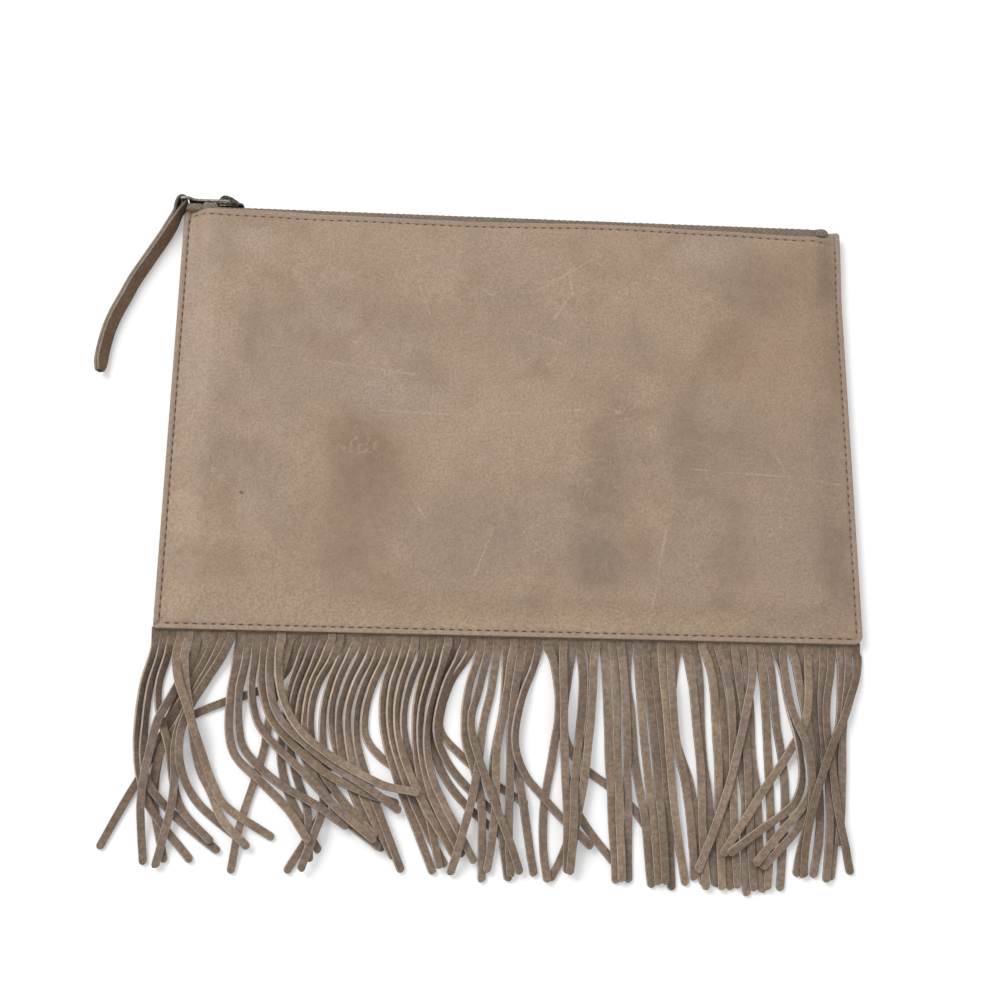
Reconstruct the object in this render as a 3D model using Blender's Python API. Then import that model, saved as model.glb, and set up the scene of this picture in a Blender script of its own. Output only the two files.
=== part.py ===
# Fringed zip pouch lying on its back, in metres.
# +X runs along the width, +Y towards the zip and +Z out of the front panel.
# The origin is the middle of the back panel's resting face.
import math

import bpy
import bmesh
import numpy as np
from mathutils import Vector

for old in list(bpy.data.objects):
    bpy.data.objects.remove(old)

MM = 0.001
GAP = 0.3 * MM

# Leather body
HALF_W = 152.5 * MM
PANEL_H = 197.0 * MM
BOTTOM_Y = -99.5 * MM
BACK_TOP_Y = BOTTOM_Y + PANEL_H
LEATHER_T = 1.2 * MM
CORNER_R = 3.0 * MM
SEAM_FLAT = 3.0 * MM
PUFF_RAMP = 16.0 * MM
PUFF = 4.0 * MM
MOUTH_EXTRA = 1.2 * MM
MOUTH_FROM_Y = 50.0 * MM
MOUTH_RAMP = 30.0 * MM
SEAM_Z = 3.6 * MM

# Zip tape, folded into the mouth with the teeth facing +Y
ZIP_Z = 5.0 * MM
ZIP_END_Z = 2.4 * MM
FOLD_HALF = 3.5 * MM
FOLD_HALF_END = 0.9 * MM
FOLD_FLAT = 1.2 * MM
TAPE_T = 0.55 * MM
TAPE_RISE = 3.1 * MM
TAPE_DEPTH = 18.6 * MM
TAPE_TOP_Y = BACK_TOP_Y + TAPE_RISE
TAPE_LOW_Y = TAPE_TOP_Y - TAPE_DEPTH
TAPE_END_IN = 4.1 * MM
PINCH_IN = 13.0 * MM
PINCH_RAMP = 9.5 * MM
TAPE_END_X = HALF_W - TAPE_END_IN
PINCH_FROM_X = HALF_W - PINCH_IN

# Zip teeth and stops
TEETH_IN_LEFT = 13.5 * MM
TEETH_IN_RIGHT = 14.5 * MM
TEETH_X0 = -HALF_W + TEETH_IN_LEFT
TEETH_X1 = HALF_W - TEETH_IN_RIGHT
TOOTH_PITCH = 3.0 * MM
TOOTH_W = 1.4 * MM
TOOTH_IN = 0.45 * MM
BEAD_IN = 1.4 * MM
BEAD_OUT = 2.0 * MM
TOOTH_Y = (TAPE_TOP_Y - 1.4 * MM, TAPE_TOP_Y + 0.7 * MM)
BEAD_Y = (TAPE_TOP_Y - 1.0 * MM, TAPE_TOP_Y + 0.3 * MM)
STOP_L = 1.9 * MM
STOP_HALF_W = 1.9 * MM

# Slider, puller and pull tab
SLIDER_HALF_L = 6.5 * MM
SLIDER_HALF_W = 4.4 * MM
SLIDER_X = TEETH_X0 + SLIDER_HALF_L + 0.5 * MM
PLATE_T = 1.2 * MM
TOP_PLATE_Y = (TOOTH_Y[1] + GAP, TOOTH_Y[1] + GAP + PLATE_T)
LOW_PLATE_Y = (TOOTH_Y[0] - 0.8 * MM - PLATE_T, TOOTH_Y[0] - 0.8 * MM)
LOW_PLATE_HALF_W = 2.6 * MM
PULLER_T = 1.2 * MM
HINGE_Y = TOP_PLATE_Y[1] + PULLER_T / 2 + 0.6 * MM
BAIL_HALF_W = 1.2 * MM
BAIL_HALF_L = 4.9 * MM
BAIL_LEG = 1.7 * MM
BAIL_TOP_Y = HINGE_Y + 3.2 * MM
PULLER_ARM = 2.9 * MM
PULLER_EYE = BAIL_HALF_L + 0.8 * MM
BAR_R = 0.65 * MM
END_BAR_X = -21.7 * MM
END_BAR_HALF = 0.7 * MM
SLOT_L = 3.4 * MM
TAB_W = 6.6 * MM
SLOT_HALF = TAB_W / 2 + GAP
PULLER_END_HALF_W = SLOT_HALF + 1.2 * MM
FLARE_FROM = 7.5 * MM
FLARE_TO = 5.5 * MM
TAB_T = 1.3 * MM
TAB_LOOP_R = 1.25 * MM
TAB_LAYER_GAP = 0.1 * MM

# Fringe, slit from one strip of suede
STRANDS = 86
FRINGE_IN = 1.2 * MM
STRAND_PITCH = 2 * (HALF_W - FRINGE_IN) / (STRANDS - 1)
STRAND_W = 3.2 * MM
STRAND_T = 1.2 * MM
STRAND_STEPS = 12
STRAND_GAP = 0.16 * MM
BAND_OUT = 0.4 * MM
BAND_IN = 6.9 * MM
BAND_Y = (BOTTOM_Y - BAND_OUT, BOTTOM_Y + BAND_IN)
BAND_Z = 2.55 * MM
TABLE_CLEAR = 0.15 * MM
LEAD_IN = 60.0 * MM
SLOPE = 0.42
ROOT_SLOPE = 0.67


def material(name, colour, rough, metal=0.0):
    m = bpy.data.materials.new(name)
    m.use_nodes = True
    b = m.node_tree.nodes["Principled BSDF"]
    b.inputs["Base Color"].default_value = (*colour, 1.0)
    b.inputs["Roughness"].default_value = rough
    b.inputs["Metallic"].default_value = metal
    return m


def solid(name, verts, faces, mat, origin=(0.0, 0.0, 0.0)):
    """One closed piece from points and faces, with its normals outward."""
    mesh = bpy.data.meshes.new(name)
    o = Vector(origin)
    mesh.from_pydata([Vector(v) - o for v in verts], [], faces)
    bm = bmesh.new()
    bm.from_mesh(mesh)
    bmesh.ops.recalc_face_normals(bm, faces=bm.faces)
    bmesh.ops.triangulate(bm, faces=[f for f in bm.faces if len(f.verts) > 4])
    bm.to_mesh(mesh)
    bm.free()
    mesh.materials.append(mat)
    ob = bpy.data.objects.new(name, mesh)
    ob.location = o
    bpy.context.scene.collection.objects.link(ob)
    return ob


def smooth(t):
    t = min(1.0, max(0.0, t))
    return t * t * (3.0 - 2.0 * t)


def along(pairs, x):
    """The value at x on the smooth line through (x, value) pairs."""
    for (xa, va), (xb, vb) in zip(pairs, pairs[1:]):
        if x <= xb:
            return va + (vb - va) * smooth((x - xa) / (xb - xa))
    return pairs[-1][1]


LEATHER = material("leather", (0.37, 0.27, 0.20), 0.6)
BACK_LEATHER = material("back_leather", (0.36, 0.26, 0.19), 0.62)
SUEDE = material("suede", (0.24, 0.17, 0.13), 0.85)
LINING = material("lining_cloth", (0.30, 0.26, 0.21), 0.9)
LINING_BACK = material("lining_cloth_back", (0.30, 0.26, 0.21), 0.9)
TAPE_CLOTH = material("tape_cloth", (0.20, 0.17, 0.14), 0.9)
TAPE_CLOTH_BACK = material("tape_cloth_back", (0.20, 0.17, 0.14), 0.9)
TEETH_METAL = material("teeth_metal", (0.16, 0.13, 0.10), 0.35, 1.0)
TEETH_METAL_BACK = material("teeth_metal_back", (0.16, 0.13, 0.10), 0.35, 1.0)
STOP_METAL = material("stop_metal", (0.16, 0.13, 0.10), 0.35, 1.0)
STOP_METAL_FRONT = material("stop_metal_front", (0.16, 0.13, 0.10), 0.35, 1.0)
STOP_METAL_BACK = material("stop_metal_back", (0.16, 0.13, 0.10), 0.35, 1.0)
SLIDER_METAL = material("slider_metal", (0.09, 0.08, 0.07), 0.3, 1.0)
PULLER_METAL = material("puller_metal", (0.30, 0.28, 0.25), 0.3, 1.0)
TAB_LEATHER = material("tab_leather", (0.13, 0.08, 0.055), 0.7)

# Body shape: the height of the front panel's inner face, and its wavy mouth edge over the back panel's
MOUTH_LEFT = [(0.0, 1.1), (32.5, 1.4), (67.5, 0.3), (132.5, -0.4)]
MOUTH_RIGHT = [(107.5, 0.6), (57.5, -0.5), (17.5, -1.6), (5.5, -2.3), (2.5, 0.9), (0.0, 1.3)]
MOUTH_EDGE = [(-HALF_W + d * MM, BACK_TOP_Y + y * MM) for d, y in MOUTH_LEFT]
MOUTH_EDGE += [(HALF_W - d * MM, BACK_TOP_Y + y * MM) for d, y in MOUTH_RIGHT]


def pinch(x):
    return smooth((abs(x) - PINCH_FROM_X) / PINCH_RAMP)


def fold_half(x):
    return FOLD_HALF + (FOLD_HALF_END - FOLD_HALF) * pinch(x)


def zip_z(x):
    return ZIP_Z + (ZIP_END_Z - ZIP_Z) * pinch(x)


def inner_z(x, y):
    """The front panel's inner face, pressed flat at the seams and raised over the zip."""
    mouth = smooth((y - MOUTH_FROM_Y) / MOUTH_RAMP)
    low = smooth((y - BOTTOM_Y - SEAM_FLAT) / PUFF_RAMP)
    side = smooth((HALF_W - abs(x) - SEAM_FLAT) / PUFF_RAMP)
    side = side * (1.0 - mouth) + (1.0 - pinch(x)) * mouth
    return SEAM_Z + low * side * (PUFF + MOUTH_EXTRA * mouth)


def rounding(x, half, r):
    """How far a rounded corner pulls the edge in at x."""
    d = half - abs(x)
    if d >= r:
        return 0.0
    return r - math.sqrt(max(0.0, r * r - (r - d) ** 2))


def sheet(name, xs, rows, low_y, top_y, low_z, top_z, mat):
    """A grid of columns xs and rows from low_y(x) to top_y(x), between two heights."""
    nx = len(xs)
    verts = []
    for z_at in (low_z, top_z):
        for v in rows:
            for x in xs:
                y = low_y(x) + (top_y(x) - low_y(x)) * v
                verts.append((x, y, z_at(x, y)))
    n = nx * len(rows)
    faces = []
    for j in range(len(rows) - 1):
        for i in range(nx - 1):
            a = j * nx + i
            quad = (a, a + 1, a + nx + 1, a + nx)
            faces.append(quad[::-1])
            faces.append(tuple(q + n for q in quad))
    ring = [i for i in range(nx)]
    ring += [j * nx + nx - 1 for j in range(1, len(rows))]
    ring += [(len(rows) - 1) * nx + i for i in range(nx - 2, -1, -1)]
    ring += [j * nx for j in range(len(rows) - 2, 0, -1)]
    for a, b in zip(ring, ring[1:] + ring[:1]):
        faces.append((a, b, b + n, a + n))
    return solid(name, verts, faces, mat)


# Front panel: one piece of leather, its edges pressed down onto the seams
edge_in = [0.0, 0.35, 1.1, 3.0, 5.0, 7.0, 9.0, 11.0, 13.5, 16.0, 19.0, 32.5, 60.0, 87.0, 115.0]
columns = [-HALF_W + d * MM for d in edge_in]
columns = columns + [0.0] + [-x for x in columns[::-1]]
rows_up = [0.0, 3.0, 5.5, 8.0, 10.5, 13.0, 16.0, 19.0, 60.0, 105.0]
rows_down = [47.5, 41.0, 34.0, 26.0, 17.0, 9.0, 0.0]
front_rows = [up * MM / PANEL_H for up in rows_up] + [1.0 - down * MM / PANEL_H for down in rows_down]


def front_low(x):
    return BOTTOM_Y + rounding(x, HALF_W, CORNER_R)


def front_top(x):
    return along(MOUTH_EDGE, x) - rounding(x, HALF_W, CORNER_R)


sheet(
    "front_panel",
    columns,
    front_rows,
    front_low,
    front_top,
    inner_z,
    lambda x, y: inner_z(x, y) + LEATHER_T,
    LEATHER,
)

# Back panel: the same leather, flat on the table
back_columns = [-HALF_W, -HALF_W + 0.35 * MM, -HALF_W + 1.1 * MM, -HALF_W + CORNER_R]
back_columns += [-x for x in back_columns[::-1]]
sheet(
    "back_panel",
    back_columns,
    [0.0, 1.0],
    front_low,
    lambda x: BACK_TOP_Y - rounding(x, HALF_W, CORNER_R),
    lambda x, y: 0.0,
    lambda x, y: LEATHER_T,
    BACK_LEATHER,
)

# Linings: thin cloth inside both panels, sewn in with the seams and to the zip tape
LINING_T = 0.5 * MM
LINING_DROP = 0.5 * MM
LINING_IN = 3.5 * MM
LINING_HALF_W = HALF_W - LINING_IN
LINING_LOW_Y = BAND_Y[1] + 2 * GAP
LINING_TOP_Y = TAPE_LOW_Y - GAP
lining_columns = [-LINING_HALF_W] + [x for x in columns if abs(x) < LINING_HALF_W - MM] + [LINING_HALF_W]
row_ys = [BOTTOM_Y + v * PANEL_H for v in front_rows]
lining_rows = [(y - LINING_LOW_Y) / (LINING_TOP_Y - LINING_LOW_Y) for y in row_ys]
lining_rows = [0.0] + [v for v in lining_rows if 0.0 < v < 0.99] + [1.0]
sheet(
    "front_lining",
    lining_columns,
    lining_rows,
    lambda x: LINING_LOW_Y,
    lambda x: LINING_TOP_Y,
    lambda x, y: inner_z(x, y) - LINING_DROP - LINING_T,
    lambda x, y: inner_z(x, y) - LINING_DROP,
    LINING,
)
sheet(
    "back_lining",
    [-LINING_HALF_W, LINING_HALF_W],
    [0.0, 1.0],
    lambda x: LINING_LOW_Y,
    lambda x: LINING_TOP_Y,
    lambda x, y: LEATHER_T + GAP,
    lambda x, y: LEATHER_T + GAP + LINING_T,
    LINING_BACK,
)


def sweep_x(name, stations, section, mat, origin=(0.0, 0.0, 0.0)):
    """A closed section of (y, z) points carried along X through the stations."""
    verts, faces = [], []
    for x in stations:
        pts = section(x)
        verts += [(x, y, z) for y, z in pts]
    n = len(section(stations[0]))
    for s in range(len(stations) - 1):
        for i in range(n):
            a, b = s * n + i, s * n + (i + 1) % n
            faces.append((a, b, b + n, a + n))
    faces.append(tuple(range(n))[::-1])
    faces.append(tuple(range((len(stations) - 1) * n, len(stations) * n)))
    return solid(name, verts, faces, mat, origin)


# Zip tape: two woven halves, each folded down inside its panel
tape_x = [-TAPE_END_X] + [-HALF_W + d * MM for d in (5.0, 7.0, 9.0, 11.0, 13.5)]
tape_x += [-x for x in tape_x[::-1]]


def tape_section(side):
    def section(x):
        out = fold_half(x)
        flat = max(out - FOLD_FLAT, 0.2 * MM)
        c = zip_z(x)
        top = TAPE_TOP_Y
        low = TAPE_LOW_Y
        soft = 0.4 * MM
        pts = [(low, out), (top - soft, out), (top, out - soft), (top, flat)]
        pts += [(top - TAPE_T, flat), (top - TAPE_T, out - TAPE_T), (low, out - TAPE_T)]
        return [(y, c + side * z) for y, z in pts]

    return section


sweep_x("zip_tape_front", tape_x, tape_section(1), TAPE_CLOTH)
sweep_x("zip_tape_back", tape_x, tape_section(-1), TAPE_CLOTH_BACK)


def teeth_row(name, side, shift, mat):
    """A bead along the tape's edge with one tooth after another standing on it."""
    verts, faces = [], []
    count = int((TEETH_X1 - TEETH_X0 - shift) / TOOTH_PITCH)
    xs = [TEETH_X0]
    for k in range(count):
        x = TEETH_X0 + shift + 0.4 * MM + k * TOOTH_PITCH
        xs += [x, x + TOOTH_W]
    xs.append(TEETH_X1)
    for x in xs:
        for y in (BEAD_Y[0], BEAD_Y[1]):
            verts.append((x, y, ZIP_Z + side * BEAD_IN))
            verts.append((x, y, ZIP_Z + side * BEAD_OUT))
    for s in range(len(xs) - 1):
        a, b = 4 * s, 4 * s + 4
        faces.append((a, a + 1, b + 1, b))
        faces.append((a + 2, b + 2, b + 3, a + 3))
        faces.append((a + 1, a + 3, b + 3, b + 1))
        if s % 2 == 0:
            faces.append((a, b, b + 2, a + 2))
            continue
        xa, xb = xs[s], xs[s + 1]
        t = len(verts)
        mid = 0.35 * MM
        for z, inset in ((ZIP_Z + side * (BEAD_IN - 0.3 * mid), 0.0), (ZIP_Z + side * TOOTH_IN, mid / 2)):
            verts += [(xa + inset, TOOTH_Y[0], z), (xb - inset, TOOTH_Y[0], z)]
            verts += [(xb - inset, TOOTH_Y[1], z), (xa + inset, TOOTH_Y[1], z)]
        root = (a, b, b + 2, a + 2)
        for i in range(4):
            j = (i + 1) % 4
            faces.append((root[i], root[j], t + j, t + i))
            faces.append((t + i, t + j, t + 4 + j, t + 4 + i))
        faces.append((t + 4, t + 5, t + 6, t + 7))
    faces.append((0, 2, 3, 1))
    e = 4 * (len(xs) - 1)
    faces.append((e, e + 1, e + 3, e + 2))
    return solid(name, verts, faces, mat)


teeth_row("zip_teeth_front", 1, 0.0, TEETH_METAL)
teeth_row("zip_teeth_back", -1, TOOTH_PITCH / 2, TEETH_METAL_BACK)


def box(name, lo, hi, mat, origin=(0.0, 0.0, 0.0)):
    verts = [(x, y, z) for x in (lo[0], hi[0]) for y in (lo[1], hi[1]) for z in (lo[2], hi[2])]
    faces = [(0, 1, 3, 2), (4, 6, 7, 5), (0, 4, 5, 1), (2, 3, 7, 6), (0, 2, 6, 4), (1, 5, 7, 3)]
    return solid(name, verts, faces, mat, origin)


# Zip stops: bent metal clips past both ends of the teeth
stop_y = (TOOTH_Y[0] - 0.2 * MM, TOOTH_Y[1] + 0.2 * MM)
stop_x = TEETH_X1 + GAP
box(
    "zip_stop_bottom",
    (stop_x, stop_y[0], ZIP_Z - STOP_HALF_W),
    (stop_x + STOP_L, stop_y[1], ZIP_Z + STOP_HALF_W),
    STOP_METAL,
)
top_x = TEETH_X0 - GAP
for side, name, mat in ((1, "front", STOP_METAL_FRONT), (-1, "back", STOP_METAL_BACK)):
    za, zb = sorted((ZIP_Z + side * TOOTH_IN, ZIP_Z + side * STOP_HALF_W))
    box(
        "zip_stop_top_" + name,
        (top_x - STOP_L + 0.2 * MM, stop_y[0], za),
        (top_x, stop_y[1], zb),
        mat,
    )


def join(target, other, operation):
    """Boolean of two pieces, applied at once; the second is used up."""
    mod = target.modifiers.new("join", "BOOLEAN")
    mod.operation = operation
    mod.solver = "EXACT"
    mod.object = other
    deps = bpy.context.evaluated_depsgraph_get()
    done = bpy.data.meshes.new_from_object(target.evaluated_get(deps))
    target.modifiers.clear()
    target.data = done
    bpy.data.objects.remove(other)


def plate_y(name, outline, y0, y1, mat, origin):
    """An outline of (x, z) points, thick along Y, with x and z measured from the zip's middle."""
    n = len(outline)
    verts = [(origin[0] + x, y, ZIP_Z + z) for y in (y0, y1) for x, z in outline]
    faces = [tuple(range(n)), tuple(range(n, 2 * n))[::-1]]
    faces += [(i, (i + 1) % n, n + (i + 1) % n, n + i) for i in range(n)]
    return solid(name, verts, faces, mat, origin)


# Slider: one casting, two plates joined by the divider at its nose, and a bail on top
slider_origin = (SLIDER_X, HINGE_Y, ZIP_Z)
L, W = SLIDER_HALF_L, SLIDER_HALF_W
half = [(-L, 0.45 * W), (-0.85 * L, 0.80 * W), (-0.35 * L, W), (0.45 * L, 0.92 * W), (L, 0.72 * W)]
outline = half + [(x, -z) for x, z in half[::-1]]
slider = plate_y("zip_slider", outline, TOP_PLATE_Y[0], TOP_PLATE_Y[1], SLIDER_METAL, slider_origin)
P = LOW_PLATE_HALF_W
low_half = [(-0.9 * L, 0.5 * P), (-0.7 * L, P), (0.7 * L, P), (0.9 * L, 0.8 * P)]
low = low_half + [(x, -z) for x, z in low_half[::-1]]
join(slider, plate_y("low", low, LOW_PLATE_Y[0], LOW_PLATE_Y[1], SLIDER_METAL, slider_origin), "UNION")
web = 0.25 * MM
web_lo = (SLIDER_X - 0.85 * L, LOW_PLATE_Y[0] + 0.5 * MM, ZIP_Z - web)
web_hi = (SLIDER_X - 0.55 * L, TOP_PLATE_Y[0] + 0.5 * MM, ZIP_Z + web)
join(slider, box("web", web_lo, web_hi, SLIDER_METAL, slider_origin), "UNION")
for side in (1, -1):
    za, zb = sorted((ZIP_Z + side * 3.0 * MM, ZIP_Z + side * 3.9 * MM))
    lo = (SLIDER_X - 0.35 * L, TAPE_TOP_Y + 0.15 * MM, za)
    hi = (SLIDER_X + 0.45 * L, TOP_PLATE_Y[0] + 0.4 * MM, zb)
    join(slider, box("flange", lo, hi, SLIDER_METAL, slider_origin), "UNION")
foot, leg, crown = BAIL_HALF_L, BAIL_LEG, BAIL_LEG - 0.4 * MM
rise = BAIL_TOP_Y - TOP_PLATE_Y[1] + 0.4 * MM
over = [(foot, 0.0), (0.98 * foot, 0.55 * rise), (0.76 * foot, 0.88 * rise), (0.49 * foot, rise)]
under = [(foot - leg, 0.0), (foot - leg - 0.1 * MM, 0.53 * rise), (0.44 * foot, rise - crown)]
arch = [(-x, y) for x, y in over] + over[::-1] + under + [(-x, y) for x, y in under[::-1]]
n = len(arch)
bail_verts = []
for z in (-BAIL_HALF_W, BAIL_HALF_W):
    for x, y in arch:
        bail_verts.append((SLIDER_X + x, BAIL_TOP_Y - rise + y, ZIP_Z + z))
bail_faces = [tuple(range(n)), tuple(range(n, 2 * n))[::-1]]
bail_faces += [(i, (i + 1) % n, n + (i + 1) % n, n + i) for i in range(n)]
join(slider, solid("bail", bail_verts, bail_faces, SLIDER_METAL, slider_origin), "UNION")

# Puller: a flat plate with an eye round the bail's foot and a slot for the tab
puller_origin = (SLIDER_X, HINGE_Y, ZIP_Z)
far = END_BAR_X - END_BAR_HALF
A, E = PULLER_ARM, PULLER_END_HALF_W
half = [(BAR_R, A - 0.5 * MM), (BAR_R - 0.5 * MM, A), (far + FLARE_FROM, A), (far + FLARE_TO, E)]
half += [(far + 0.6 * MM, E), (far, E - 0.6 * MM)]
outline = half + [(x, -z) for x, z in half[::-1]]
py = (HINGE_Y - PULLER_T / 2, HINGE_Y + PULLER_T / 2)
puller = plate_y("puller", outline, py[0], py[1], PULLER_METAL, puller_origin)
eye_lo = (SLIDER_X - PULLER_EYE, py[0] - MM, ZIP_Z - 1.6 * MM)
eye_hi = (SLIDER_X - BAR_R, py[1] + MM, ZIP_Z + 1.6 * MM)
join(puller, box("eye", eye_lo, eye_hi, PULLER_METAL), "DIFFERENCE")
slot_lo = (SLIDER_X + END_BAR_X + END_BAR_HALF, py[0] - MM, ZIP_Z - SLOT_HALF)
slot_hi = (SLIDER_X + END_BAR_X + END_BAR_HALF + SLOT_L, py[1] + MM, ZIP_Z + SLOT_HALF)
join(puller, box("slot", slot_lo, slot_hi, PULLER_METAL), "DIFFERENCE")

# Hand-read points along the tab and the strands are in this unit
LAY_UNIT = 1.0 * MM

# Pull tab: one leather strap folded round the puller's end bar, its two layers face to face.
# Its line starts at the end bar, and its roll onto its side is in degrees at a distance along it.
TAB_LINE = [(0.0, 0.0), (-1.2, -3.4), (-3.0, -8.6), (-6.1, -15.5), (-10.6, -23.9), (-15.0, -32.2)]
TAB_LINE += [(-19.3, -40.5), (-22.7, -48.7), (-26.1, -56.8), (-28.6, -64.8), (-30.1, -72.8)]
TAB_LINE += [(-30.8, -79.0), (-31.1, -85.5)]
TAB_ROLL = [(0.0, 0.0), (4.0, -8.0), (15.0, -50.0), (95.0, -55.0)]
TAB_DROP = 25.0 * MM
TAB_OPEN = (1.2 * MM, 6.7 * MM)


def spline(points, count):
    """count points evenly spaced on a smooth line through the given points."""
    p = [np.array(q, float) for q in points]
    p = [2 * p[0] - p[1]] + p + [2 * p[-1] - p[-2]]
    fine = []
    for a, b, c, d in zip(p, p[1:], p[2:], p[3:]):
        for t in np.linspace(0, 1, 12, endpoint=False):
            curve = (2 * a - 5 * b + 4 * c - d) * t * t + (3 * b - a - 3 * c + d) * t**3
            fine.append(0.5 * (2 * b + (c - a) * t + curve))
    fine.append(p[-2])
    fine = np.array(fine)
    run = np.concatenate([[0], np.cumsum(np.linalg.norm(np.diff(fine, axis=0), axis=1))])
    at = np.linspace(0, run[-1], count)
    return np.stack([np.interp(at, run, fine[:, k]) for k in range(fine.shape[1])], axis=1)


def pull_tab():
    bar = (SLIDER_X + END_BAR_X, HINGE_Y)
    line = spline([(bar[0] + x * LAY_UNIT, bar[1] + y * LAY_UNIT) for x, y in TAB_LINE], 24)
    total = float(np.sum(np.linalg.norm(np.diff(line, axis=0), axis=1)))
    pivot = line[0]
    lay = TAB_T / 2 + TAB_LAYER_GAP / 2
    loop_r = TAB_LOOP_R + TAB_T / 2
    frames = []
    for i in range(len(line)):
        a, b = line[max(i - 1, 0)], line[min(i + 1, len(line) - 1)]
        t = (b - a) / np.linalg.norm(b - a)
        frames.append((line[i], t, np.array([-t[1], t[0]]), total * i / (len(line) - 1)))
    legs = {1: [], -1: []}
    for side in (1, -1):
        for p, t, nrm, s in frames[1:]:
            roll = math.radians(along([(a * LAY_UNIT, b) for a, b in TAB_ROLL], s))
            drop = smooth(s / TAB_DROP)
            hz = (TAB_W / 2) * math.cos(roll) - (TAB_T + TAB_LAYER_GAP) * math.sin(roll)
            z = ZIP_Z + (hz + TABLE_CLEAR - ZIP_Z) * drop
            open_ = lay + (loop_r - lay) * (1.0 - smooth((s - TAB_OPEN[0]) / (TAB_OPEN[1] - TAB_OPEN[0])))
            width = np.array([nrm[0] * math.sin(roll), nrm[1] * math.sin(roll), math.cos(roll)])
            thick = np.array([nrm[0] * math.cos(roll), nrm[1] * math.cos(roll), -math.sin(roll)])
            centre = np.array([p[0], p[1], z]) + thick * side * open_
            legs[side].append((centre, width, thick * side))
    t0 = frames[0][1]
    heading = math.atan2(t0[1], t0[0])
    loop = []
    for k in range(7):
        ang = heading + math.pi / 2 + math.pi * k / 6
        out = np.array([math.cos(ang), math.sin(ang), 0.0])
        loop.append((np.array([pivot[0], pivot[1], ZIP_Z]) + out * loop_r, np.array([0, 0, 1.0]), out))
    path = legs[1][::-1] + loop + legs[-1]
    verts, faces = [], []
    last = len(path) - 1
    for i, (c, w, out) in enumerate(path):
        half_w = TAB_W / 2 * (0.55 if i in (0, last) else (0.9 if i in (1, last - 1) else 1.0))
        for a, b in ((1, 1), (1, -1), (-1, -1), (-1, 1)):
            verts.append(c + w * half_w * a + out * b * TAB_T / 2)
    for s in range(last):
        for i in range(4):
            a, b = 4 * s + i, 4 * s + (i + 1) % 4
            faces.append((a, b, b + 4, a + 4))
    faces.append((0, 1, 2, 3))
    faces.append(tuple(4 * last + i for i in range(4)))
    return solid("pull_tab", verts, faces, TAB_LEATHER, (pivot[0], pivot[1], ZIP_Z))


tab = pull_tab()

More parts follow.
